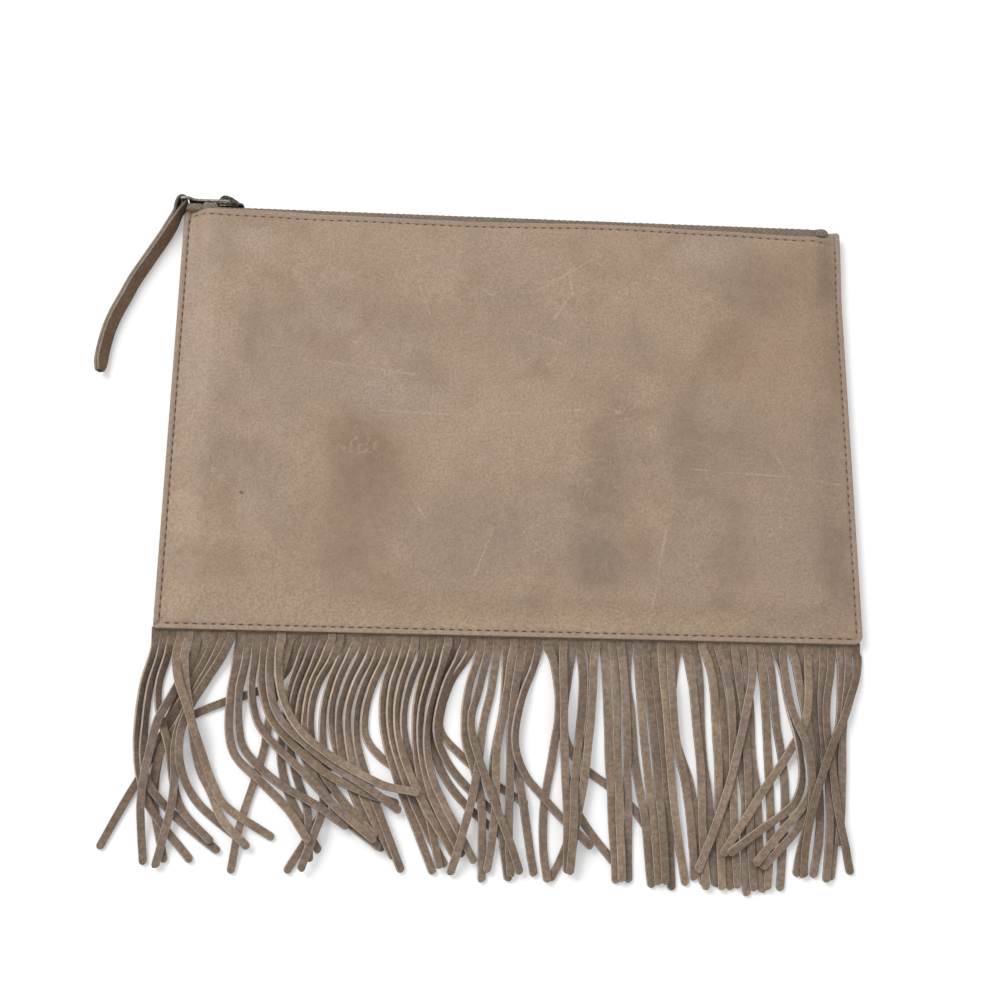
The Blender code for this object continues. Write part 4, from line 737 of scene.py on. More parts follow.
def tape_half(name, side, stands_for):
    """One half of the tape: a folded section of (y, z) points carried along X."""
    rings = []
    for x in np.linspace(-TAPE_END_X, TAPE_END_X, 150):
        out = FOLD_HALF + (FOLD_HALF_END - FOLD_HALF) * pinch(x)
        flat = max(out - FOLD_FLAT, 0.2 * MM)
        middle = ZIP_Z + (ZIP_END_Z - ZIP_Z) * pinch(x)
        top = TAPE_TOP_Y + 0.12 * MM * drift(x * 60, side, 0) + (END_RISE * pinch(x) if x > 0 else 0.0)
        soft = min(TAPE_SOFT_R, out - flat)
        pts = [(TAPE_LOW_Y, out)]
        for k in range(6):
            a = math.pi / 2 * k / 5
            pts.append((top - soft + soft * math.sin(a), out - soft + soft * math.cos(a)))
        pts += [(top, flat), (top - TAPE_T, flat)]
        pts += [(top - TAPE_T, max(flat, out - soft)), (top - soft, out - TAPE_T), (TAPE_LOW_Y, out - TAPE_T)]
        rings.append([(x, y, middle + side * z) for y, z in pts])
    verts, faces = [], []
    ring_box(verts, faces, rings)
    piece(name, verts, faces, [tape_cloth], "pouch", [stands_for])


tape_half("zip_tape_front_cloth", 1, "zip_tape_front")
tape_half("zip_tape_back_cloth", -1, "zip_tape_back")


def tuft(name, low, high, seed):
    """A turned-under tape end: a thick soft pad of lumpy cloth between two corners, in mm."""
    middle = (Vector(low) + Vector(high)) / 2 * MM
    half = (Vector(high) - Vector(low)) / 2 * MM
    rings = []
    for i in range(15):
        t = i / 14 * 2 - 1
        fat = max((1 - abs(t) ** 4) ** 0.5, 0.3)
        ring = []
        for k in range(20):
            ca, sa = math.cos(math.pi * 2 * k / 20), math.sin(math.pi * 2 * k / 20)
            y = math.copysign(abs(ca) ** 0.6, ca) * half.y * fat
            z = math.copysign(abs(sa) ** 0.6, sa) * half.z * fat
            p = middle + Vector((t * half.x, y, z))
            ring.append(p + Vector((0, ca, sa)) * drift(p.x * 420 + seed, p.y * 420, p.z * 420) * 0.35 * MM)
        rings.append(ring)
    verts, faces = [], []
    ring_box(verts, faces, rings)
    piece(name, verts, faces, [tape_cloth], "pouch")


tuft("zip_tape_end_under", (-152.2, 99.0, 2.4), (-143.4, 103.1, 7.4), 7.0)
tuft("zip_tape_end_left", (-144.4, 98.4, 3.4), (-136.2, 103.2, 8.8), 1.0)
tuft("zip_tape_end_right", (140.5, 97.4, 2.0), (149.6, 102.0, 6.9), 4.0)

# Zip teeth and stops: stamped brass gone dark, each tooth clamped over the cord on the edge of the tape.
# A bent clip stops the slider at each end.
TEETH_X = (-139.0 * MM, 138.0 * MM)
TOOTH_PITCH = 3.0 * MM
TOOTH_W = 1.4 * MM
TOOTH_IN = 0.45 * MM
TOOTH_Y = (99.2 * MM, 101.3 * MM)
CORD_IN = 1.7 * MM
CORD_Y = 100.25 * MM
CORD_HALF = (0.62 * MM, 0.45 * MM)
CORD_RINGS = 120
CORD_SIDES = 8
STOP_L = 1.9 * MM
STOP_TOP_L = 1.7 * MM
STOP_GAP = 0.3 * MM
STOP_REACH = 1.9 * MM
STOP_Y = (99.0 * MM, 101.5 * MM)

wear, come, go = effect("metal_wear", {"Place": (0, 0, 0), "Size": 0.002}, "Mask", "Fine")
rub = noisy(wear, come["Place"], reckon(wear, "DIVIDE", 1.0, come["Size"]), 6.0, 0.7)
wear.links.new(ranged(wear, rub[0], 0.42, 0.66), go["Mask"])
wear.links.new(noisy(wear, come["Place"], 2600.0, 3.0)[0], go["Fine"])


def metal(name, dull, bright, rough_low, rough_high):
    """A metal gone dull, rubbed bright and smoother in places."""
    finish, tree, skin, spot = finish_of(name, 0.35, 1.0)
    rubbed = use(tree, wear, spot, Size=0.0016)
    tree.links.new(mixed(tree, rubbed["Mask"], dull, bright), skin.inputs["Base Color"])
    tree.links.new(ranged(tree, rubbed["Mask"], 0.0, 1.0, rough_high, rough_low), skin.inputs["Roughness"])
    bumped(tree, skin, rubbed["Fine"], 0.12, 0.00006)
    return finish


teeth_metal = metal("teeth_metal", (0.14, 0.115, 0.085, 1), (0.36, 0.30, 0.22, 1), 0.28, 0.5)


def tooth_ring(x, half_w, y0, y1, z, soft):
    """A rounded rectangle in X and Y at one height."""
    pts = []
    for start, (sx, sy) in enumerate(((1, 1), (-1, 1), (-1, -1), (1, -1))):
        cx = x + sx * (half_w - soft)
        cy = (y0 + y1) / 2 + sy * ((y1 - y0) / 2 - soft)
        for k in range(3):
            a = math.pi / 2 * (start + k / 2)
            pts.append(Vector((cx + soft * math.cos(a), cy + soft * math.sin(a), z)))
    return pts


def teeth(name, side, shift, stands_for):
    """One row: teeth whose legs grip the tape's corded edge and whose heads cup the row across."""
    verts, faces = [], []
    for k in range(int((TEETH_X[1] - TEETH_X[0] - shift) / TOOTH_PITCH)):
        x = TEETH_X[0] + shift + 0.4 * MM + k * TOOTH_PITCH + TOOTH_W / 2
        rings = []
        for z, w, grow, soft in (
            (2.05, 0.50, -0.2, 0.12),
            (1.95, 0.58, -0.05, 0.15),
            (1.35, 0.66, 0.0, 0.18),
            (0.80, 0.62, -0.12, 0.2),
            (0.55, 0.52, -0.25, 0.2),
            (TOOTH_IN / MM, 0.38, -0.42, 0.16),
        ):
            y0, y1 = TOOTH_Y[0] - grow * MM, TOOTH_Y[1] + grow * MM
            rings.append(tooth_ring(x, w * MM, y0, y1, ZIP_Z + side * z * MM, soft * MM))
        ring_box(verts, faces, rings)
    first_cord = len(faces)
    cord = []
    for x in np.linspace(*TEETH_X, CORD_RINGS):
        ring = []
        for k in range(CORD_SIDES):
            a = math.pi * 2 * k / CORD_SIDES
            z = ZIP_Z + side * (CORD_IN + CORD_HALF[1] * math.sin(a))
            ring.append(Vector((x, CORD_Y + CORD_HALF[0] * math.cos(a), z)))
        cord.append(ring)
    ring_box(verts, faces, cord)
    finishes = [teeth_metal, tape_cloth]
    obj = piece(name, verts, faces, finishes, "pouch", stands_for, smooth=False)
    for face in obj.data.polygons[first_cord:]:
        face.material_index = 1
        face.use_smooth = True


teeth("zip_teeth_front_metal", 1, 0.0, ["zip_teeth_front"])
teeth("zip_teeth_back_metal", -1, TOOTH_PITCH / 2, ["zip_teeth_back"])

# A stop is a strip of metal bent over the tape's edge, with rolled ends
STOP_ROUNDING = [(0.0, -0.22), (0.08, -0.06), (0.2, 0.0), (0.5, 0.05), (0.8, 0.0), (0.92, -0.06)]
STOP_ROUNDING += [(1.0, -0.22)]
right_stop = TEETH_X[1] + STOP_GAP
left_stop = TEETH_X[0] - STOP_GAP
for name, x0, x1, low, high, stands_for in (
    ("zip_stop_bottom_clip", right_stop, right_stop + STOP_L, -STOP_REACH, STOP_REACH, "zip_stop_bottom"),
    ("zip_stop_front_clip", left_stop - STOP_TOP_L, left_stop, TOOTH_IN, STOP_REACH, "zip_stop_top_front"),
    ("zip_stop_back_clip", left_stop - STOP_TOP_L, left_stop, -STOP_REACH, -TOOTH_IN, "zip_stop_top_back"),
):
    verts, faces, rings = [], [], []
    for t, grow in STOP_ROUNDING:
        half_w, z = (x1 - x0) / 2 + grow * MM, ZIP_Z + low + (high - low) * t
        y0, y1 = STOP_Y[0] - grow * MM, STOP_Y[1] + grow * MM
        rings.append(tooth_ring((x0 + x1) / 2, half_w, y0, y1, z, 0.3 * MM))
    ring_box(verts, faces, rings)
    piece(name, verts, faces, [teeth_metal], "pouch", [stands_for], smooth=False)

# Slider: one die casting in blackened metal, two curved plates joined by a divider at the nose.
# A domed bail stands on the upper plate and holds the puller.
SLIDER_X = -132.0 * MM
SLIDER_HALF_L = 6.5 * MM
SLIDER_HALF_W = 4.4 * MM
TOP_PLATE_Y = (101.6 * MM, 102.8 * MM)
LOW_PLATE_Y = (97.2 * MM, 98.4 * MM)
LOW_PLATE_HALF_W = 2.6 * MM
LIP_LOW_Y = 100.75 * MM
HINGE_Y = 104.0 * MM
slider_metal = metal("slider_metal", (0.030, 0.026, 0.023, 1), (0.15, 0.130, 0.112, 1), 0.22, 0.40)


def shell(verts, faces, outline, y0, y1, soft):
    """Adds a plate of outline (x, z), thick along Y, with rounded rims."""
    cx = sum(p[0] for p in outline) / len(outline)
    cz = sum(p[1] for p in outline) / len(outline)
    rings = []
    for face_y, lift, pull in (
        (y0, 0.0, 1.0),
        (y0, 0.3, 0.35),
        (y0, 1.0, 0.0),
        (y1, -1.0, 0.0),
        (y1, -0.3, 0.35),
        (y1, 0.0, 1.0),
    ):
        ring = []
        for x, z in outline:
            d = Vector((x - cx, 0, z - cz))
            inset = d.normalized() * min(soft * pull, d.length * 0.5)
            ring.append(Vector((x - inset.x, face_y + soft * lift, z - inset.z)))
        rings.append(ring)
    ring_box(verts, faces, rings)


def spline(points, count, closed=False):
    """count points evenly spaced on a smooth line, or closed loop, through the given points."""
    p = [np.array(q, float) for q in points]
    p = [p[-1]] + p + p[:2] if closed else [2 * p[0] - p[1]] + p + [2 * p[-1] - p[-2]]
    fine = []
    for a, b, c, d in zip(p, p[1:], p[2:], p[3:]):
        for t in np.linspace(0, 1, 10 if closed else 12, endpoint=False):
            bend = (2 * a - 5 * b + 4 * c - d) * t * t + (3 * b - a - 3 * c + d) * t**3
            fine.append(0.5 * (2 * b + (c - a) * t + bend))
    fine = np.array(fine + [p[-2]])
    run = np.concatenate([[0], np.cumsum(np.linalg.norm(np.diff(fine, axis=0), axis=1))])
    at = np.linspace(0, run[-1], count, endpoint=not closed)
    return np.stack([np.interp(at, run, fine[:, k]) for k in range(fine.shape[1])], axis=1)


def mirrored(half):
    return half + [(x, -z) for x, z in half[::-1]]


def from_slider(pts):
    """Points (x, z) given from the slider's middle, in the frame."""
    return [(SLIDER_X + x, ZIP_Z + z) for x, z in pts]


L, W, P = SLIDER_HALF_L, SLIDER_HALF_W, LOW_PLATE_HALF_W
verts, faces = [], []
half = [(-L, 0.42 * W), (-0.85 * L, 0.80 * W), (-0.35 * L, W), (0.45 * L, 0.94 * W), (L, 0.66 * W)]
shell(verts, faces, from_slider(spline(mirrored(half), 48, closed=True)), *TOP_PLATE_Y, 0.35 * MM)
half = [(-0.9 * L, 0.5 * P), (-0.7 * L, P), (0.7 * L, P), (0.9 * L, 0.8 * P)]
shell(verts, faces, from_slider(spline(mirrored(half), 40, closed=True)), *LOW_PLATE_Y, 0.3 * MM)
web = [(-0.85 * L, -0.25 * MM), (-0.55 * L, -0.25 * MM), (-0.55 * L, 0.25 * MM), (-0.85 * L, 0.25 * MM)]
shell(verts, faces, from_slider(web), LOW_PLATE_Y[1] - 0.4 * MM, TOP_PLATE_Y[0] + 0.4 * MM, 0.05 * MM)
for side in (1, -1):
    lip = []
    for wide, bow, run in ((3.9, 0.35, np.linspace(0, 1, 14)), (3.0, 0.3, np.linspace(1, 0, 14))):
        lip += [(L * (-0.62 + 1.3 * t), side * (wide - bow * abs(2 * t - 1) ** 2) * MM) for t in run]
    shell(verts, faces, from_slider(lip), LIP_LOW_Y, TOP_PLATE_Y[0] + 0.5 * MM, 0.2 * MM)

# The bail is a flat arch with its crown towards the puller, falling in a long slope to the nose
ARCH = [(-4.9, 0.0), (-5.05, 1.6), (-4.8, 3.3), (-4.0, 4.6), (-2.6, 5.35), (-1.0, 5.2), (0.8, 4.5)]
ARCH += [(2.6, 3.4), (4.2, 2.1), (5.4, 0.8), (5.9, 0.0)]
HOLE = [(1.2, 0.0), (1.2, 1.2), (0.9, 2.0), (0.1, 2.6), (-1.2, 2.9), (-2.3, 2.6), (-2.9, 1.9)]
HOLE += [(-3.1, 0.8), (-3.1, 0.0)]
BAIL_SINK = 0.3 * MM
rims = [(x, y, -1) for x, y in spline(ARCH, 25)] + [(x, y, 1) for x, y in spline(HOLE, 21)]
rings = []
for z, pull in ((-1.2, 0.25), (-1.05, 0.08), (-0.85, 0.0), (0.85, 0.0), (1.05, 0.08), (1.2, 0.25)):
    ring = []
    for x, y, sign in rims:
        x, y = x * MM, y * MM - BAIL_SINK
        inset = sign * pull * MM / math.hypot(x, y)
        px, py = x * (1 + inset), y + max(y, 0) * inset
        ring.append(Vector((SLIDER_X + px, TOP_PLATE_Y[1] + py, ZIP_Z + z * MM)))
    rings.append(ring)
ring_box(verts, faces, rings)
finishes = [slider_metal]
piece("zip_slider_casting", verts, faces, finishes, "slider", ["zip_slider"], smooth=False)

# Puller: a flat stamped plate, brushed and worn bright on its edges, with an eye round the bail.
# Its far end has a slot that the leather tab passes through.
PULLER_T = 1.2 * MM
PULLER_ARM = 2.9 * MM
SLOT_HALF = 3.6 * MM
SLOT_L = 2.5 * MM
SLOT_R = 0.6 * MM
PULLER_END_HALF_W = SLOT_HALF + 1.2 * MM
PULLER_EYE = 5.7 * MM
EYE_HALF = 1.6 * MM
RIM_R = 0.28 * MM
BAR_R = 0.65 * MM
END_BAR_X = -21.7 * MM
END_BAR_HALF = 0.7 * MM
puller_metal = metal("puller_metal", (0.150, 0.132, 0.106, 1), (0.42, 0.385, 0.325, 1), 0.2, 0.38)


def holed_plate(outer, holes, y0, y1):
    """A plate of outline (x, z) with holes, filled, thickened along Y and with softened rims."""
    bm = bmesh.new()
    edges = []
    for loop in [outer] + holes:
        vs = [bm.verts.new((x, y0, z)) for x, z in loop]
        edges += [bm.edges.new((a, b)) for a, b in zip(vs, vs[1:] + vs[:1])]
    bmesh.ops.triangle_fill(bm, use_beauty=True, use_dissolve=False, edges=edges)
    up = bmesh.ops.extrude_face_region(bm, geom=list(bm.faces))
    for v in [g for g in up["geom"] if isinstance(g, bmesh.types.BMVert)]:
        v.co.y = y1
    bmesh.ops.recalc_face_normals(bm, faces=bm.faces)
    rims = []
    for e in bm.edges:
        level = abs(e.verts[0].co.y - e.verts[1].co.y) < 1e-7
        if level and e.is_manifold and e.calc_face_angle(0.0) > 0.9:
            rims.append(e)
    bmesh.ops.bevel(bm, geom=rims, offset=RIM_R, segments=3, profile=0.5, affect="EDGES")
    bm.verts.index_update()
    verts = [v.co.copy() for v in bm.verts]
    faces = [tuple(v.index for v in f.verts) for f in bm.faces]
    bm.free()
    return verts, faces


far_x = END_BAR_X - END_BAR_HALF
A, E = PULLER_ARM, PULLER_END_HALF_W
outline = [(BAR_R - 0.1 * MM, 0.55 * A), (BAR_R - 0.5 * MM, 0.86 * A), (-1.4 * MM, A), (0.4 * far_x, A)]
outline += [(far_x + 8 * MM, A), (far_x + 6.0 * MM, 1.18 * A), (far_x + 4.3 * MM, E), (far_x + 1.2 * MM, E)]
outline += [(far_x + 0.2 * MM, 0.86 * E), (far_x, 0.6 * E)]
eye = [(-PULLER_EYE, 0.9 * MM), (-PULLER_EYE + 0.7 * MM, EYE_HALF), (-1.3 * MM, EYE_HALF), (-BAR_R, 1.1 * MM)]
near_x = END_BAR_X + END_BAR_HALF
end_x = near_x + SLOT_L
slot = [(near_x, SLOT_HALF - SLOT_R), (near_x + SLOT_R, SLOT_HALF)]
slot += [(end_x - SLOT_R, SLOT_HALF), (end_x, SLOT_HALF - SLOT_R)]
verts, faces = holed_plate(
    from_slider(spline(mirrored(outline), 90, closed=True)),
    [from_slider(spline(mirrored(hole), 36, closed=True)) for hole in (eye, slot)],
    HINGE_Y - PULLER_T / 2,
    HINGE_Y + PULLER_T / 2,
)
piece("puller_plate", verts, faces, [puller_metal], "puller", ["puller"], smooth=False)

# Pull tab: one strap of dark hide, folded round the puller's end bar so that its two layers lie face to face.
# Its cut edges are paler and furry, and it hangs over the corner of the pouch down to the table.
TAB_T = 1.3 * MM
TAB_W = 6.6 * MM
TAB_LOOP_R = 1.25 * MM
TAB_LAYER_GAP = 0.25 * MM
TAB_DROP_L = 25.0 * MM
TABLE_CLEAR = 0.15 * MM
TAB_LINE = [(-153.7, 104.0), (-154.9, 100.6), (-156.7, 95.4), (-159.8, 88.5), (-164.3, 80.1)]
TAB_LINE += [(-168.7, 71.8), (-173.0, 63.5), (-176.4, 55.3), (-179.8, 47.2), (-182.3, 39.2)]
TAB_LINE += [(-183.8, 31.2), (-184.5, 25.0), (-184.8, 18.5)]
TAB_ROLL = [(0.0, 0.0), (4.0, -6.0), (15.0, -28.0), (95.0, -32.0)]
TAB_END = [0.5, 0.72, 0.86, 0.95]
TAB_TONES = ((0.140, 0.088, 0.052, 1), (0.265, 0.175, 0.112, 1))
TAB_CUT = ((0.230, 0.185, 0.145, 1), (0.380, 0.315, 0.255, 1))


def hide_strap(name, face_tones, cut_tones):
    """Materials of a cut strap: its faces and its furry cut edges."""
    made = []
    for part, (dark, light), rough in (("face", face_tones, 0.7), ("cut", cut_tones, 0.95)):
        finish, tree, skin, spot = finish_of(name + "_" + part, rough)
        mask = use(tree, clouds, spot, Size=0.02, Low=0.3, High=0.7)["Mask"]
        tone = mixed(tree, reckon(tree, "ADD", reckon(tree, "MULTIPLY", mask, 0.4), 0.3), dark, light)
        nap = use(tree, grain, spot, Size=0.0009)
        tone = tinted(tree, tone, nap["Pore"], 0.6, light)
        tone = tinted(tree, tone, use(tree, grain, spot, Size=0.0021)["Pore"], 0.55, dark)
        # The shade attribute holds each point's tone and painted shade.
        shade = place(tree, "Attribute", {}, attribute_name="shade")
        tree.links.new(mixed(tree, 1.0, tone, shade["Color"], "MULTIPLY"), skin.inputs["Base Color"])
        skin.inputs["Specular IOR Level"].default_value = 0.2
        bumped(tree, skin, nap["Height"], 0.5, 0.0003)
        made.append(finish)
    return made


def strap_ring(centre, width, out, half_w, half_t, soft, crown=1.05):
    """The section of a strap: a rectangle with rounded corners and slightly crowned faces."""
    face, edge = half_w - soft, half_t - soft
    pts = [(-face, half_t), (0, half_t * crown), (face, half_t), (half_w, edge), (half_w, -edge)]
    pts += [(-a, -b) for a, b in pts]
    return [Vector(tuple(centre + width * a + out * b)) for a, b in pts]


# The faces between a strap ring's points that are cut edges
STRAP_CUT_FACES = (2, 3, 4, 7, 8, 9)


def strap(verts, faces, cut, rings):
    """Adds a strap through its rings and notes which of its faces are cut edges."""
    n, first = len(rings[0]), len(faces)
    ring_box(verts, faces, rings)
    cut += [first + s * n + i for s in range(len(rings) - 1) for i in STRAP_CUT_FACES]
    cut += [len(faces) - 2, len(faces) - 1]


def shaded(obj, cut, shades):
    """Gives the cut faces their own finish, with painted shade where they face sideways or down into a slit,
    and each point its tone and painted shade.
    """
    mesh = obj.data
    cut = set(cut)
    tints = np.zeros((len(mesh.loops), 4), np.float32)
    for face in mesh.polygons:
        lit = 1.0
        if face.index in cut:
            face.material_index = 1
            # Painted shade: cut faces that turn sideways or down are darkened.
            lit = 0.25 + 0.75 * ease((face.normal.z - 0.05) / 0.45)
        for k in face.loop_indices:
            tints[k] = [lit * c for c in shades[mesh.loops[k].vertex_index]] + [1.0]
    layer = mesh.color_attributes.new("shade", "FLOAT_COLOR", "CORNER")
    layer.data.foreach_set("color", tints.ravel())
    bm = bmesh.new()
    bm.from_mesh(mesh)
    for edge in bm.edges:
        edge.smooth = len({face.material_index for face in edge.link_faces}) == 1
    bm.to_mesh(mesh)
    bm.free()


def tab_path():
    """The strap's middle, its width and its outward side, up one leg, round the bar and down the other."""
    line = spline([(x * MM, y * MM) for x, y in TAB_LINE], 70)
    total = float(np.sum(np.linalg.norm(np.diff(line, axis=0), axis=1)))
    lay = TAB_T / 2 + TAB_LAYER_GAP / 2
    loop_r = TAB_LOOP_R + TAB_T / 2
    legs = {1: [], -1: []}
    for side in (1, -1):
        for i in range(1, len(line)):
            way = line[min(i + 1, len(line) - 1)] - line[i - 1]
            nx, ny = -way[1] / np.linalg.norm(way), way[0] / np.linalg.norm(way)
            s = total * i / (len(line) - 1)
            roll = math.radians(along(TAB_ROLL, s / MM))
            c, d = math.cos(roll), math.sin(roll)
            high = TAB_W / 2 * c - (TAB_T + TAB_LAYER_GAP) * d + TABLE_CLEAR
            middle = np.array([line[i][0], line[i][1], ZIP_Z + (high - ZIP_Z) * ease(s / TAB_DROP_L)])
            spread = lay + (loop_r - lay) * (1.0 - ease((s - 1.2 * MM) / (5.5 * MM)))
            out = np.array([nx * c, ny * c, -d]) * side
            legs[side].append((middle + out * spread, np.array([nx * d, ny * d, c]), out))
    heading = math.atan2(line[1][1] - line[0][1], line[1][0] - line[0][0])
    loop = []
    for k in range(15):
        turn = heading + math.pi / 2 + math.pi * k / 14
        out = np.array([math.cos(turn), math.sin(turn), 0.0])
        loop.append((np.array([line[0][0], line[0][1], ZIP_Z]) + out * loop_r, np.array([0, 0, 1.0]), out))
    return legs[1][::-1] + loop + legs[-1]


tab_finish = hide_strap("tab_leather", TAB_TONES, TAB_CUT)
path = tab_path()
verts, faces, cut, rings, shades = [], [], [], [], []
last = len(path) - 1
for i, (centre, width, out) in enumerate(path):
    end = min(i, last - i)
    narrow = TAB_END[end] if end < len(TAB_END) else 1.0
    half_w = TAB_W / 2 * narrow * (1.0 + 0.02 * drift(i * 0.35, 2.0, 0))
    rings.append(strap_ring(centre, width, out, half_w, TAB_T / 2 * 0.97, 0.2 * MM))
    # Painted shade: the strap is darker where it wraps round the puller's bar.
    dim = 0.5 + 0.5 * ease((abs(i - last / 2) - 8) / 8)
    shades += [[dim * (0.95 + 0.15 * drift(i * 0.12, 0, 0))] * 3] * len(rings[0])
strap(verts, faces, cut, rings)
tab_piece = piece("pull_tab_strap", verts, faces, tab_finish, "tab", ["pull_tab"])
shaded(tab_piece, cut, shades)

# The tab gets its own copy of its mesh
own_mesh(tab_piece)

# Fringe: one strip of suede sewn into the bottom seam and slit into 86 strands from edge to edge.
# Each strand has a napped face and paler cut edges, rolls a little, and lies over its neighbours.
STRANDS = 86
STRAND_PITCH = 3.56 * MM
STRAND_W = 3.2 * MM
STRAND_T = 1.2 * MM
STRAND_STEPS = 44
STRAND_GAP = 0.12 * MM
DRAWN_W = 3.6 * MM
DRAWN_HALF_T = STRAND_T / 2 * 0.95
STRAND_R = 0.18 * MM
STRAND_CROWN = 1.03
BAND_Y = (-99.9 * MM, -92.6 * MM)
BAND_Z = 2.55 * MM
BAND_RINGS = 80
LEAD_IN = 60.0 * MM
SLOPE = 0.42
ROOT_SLOPE = 0.67
TIP = [(1.5, 1.0), (0.9, 0.89), (0.45, 0.68), (0.15, 0.4), (0.0, 0.12)]
SUEDE_TONES = ((0.150, 0.106, 0.074, 1), (0.370, 0.278, 0.208, 1))
SUEDE_CUT = ((0.400, 0.318, 0.254, 1), (0.600, 0.495, 0.410, 1))

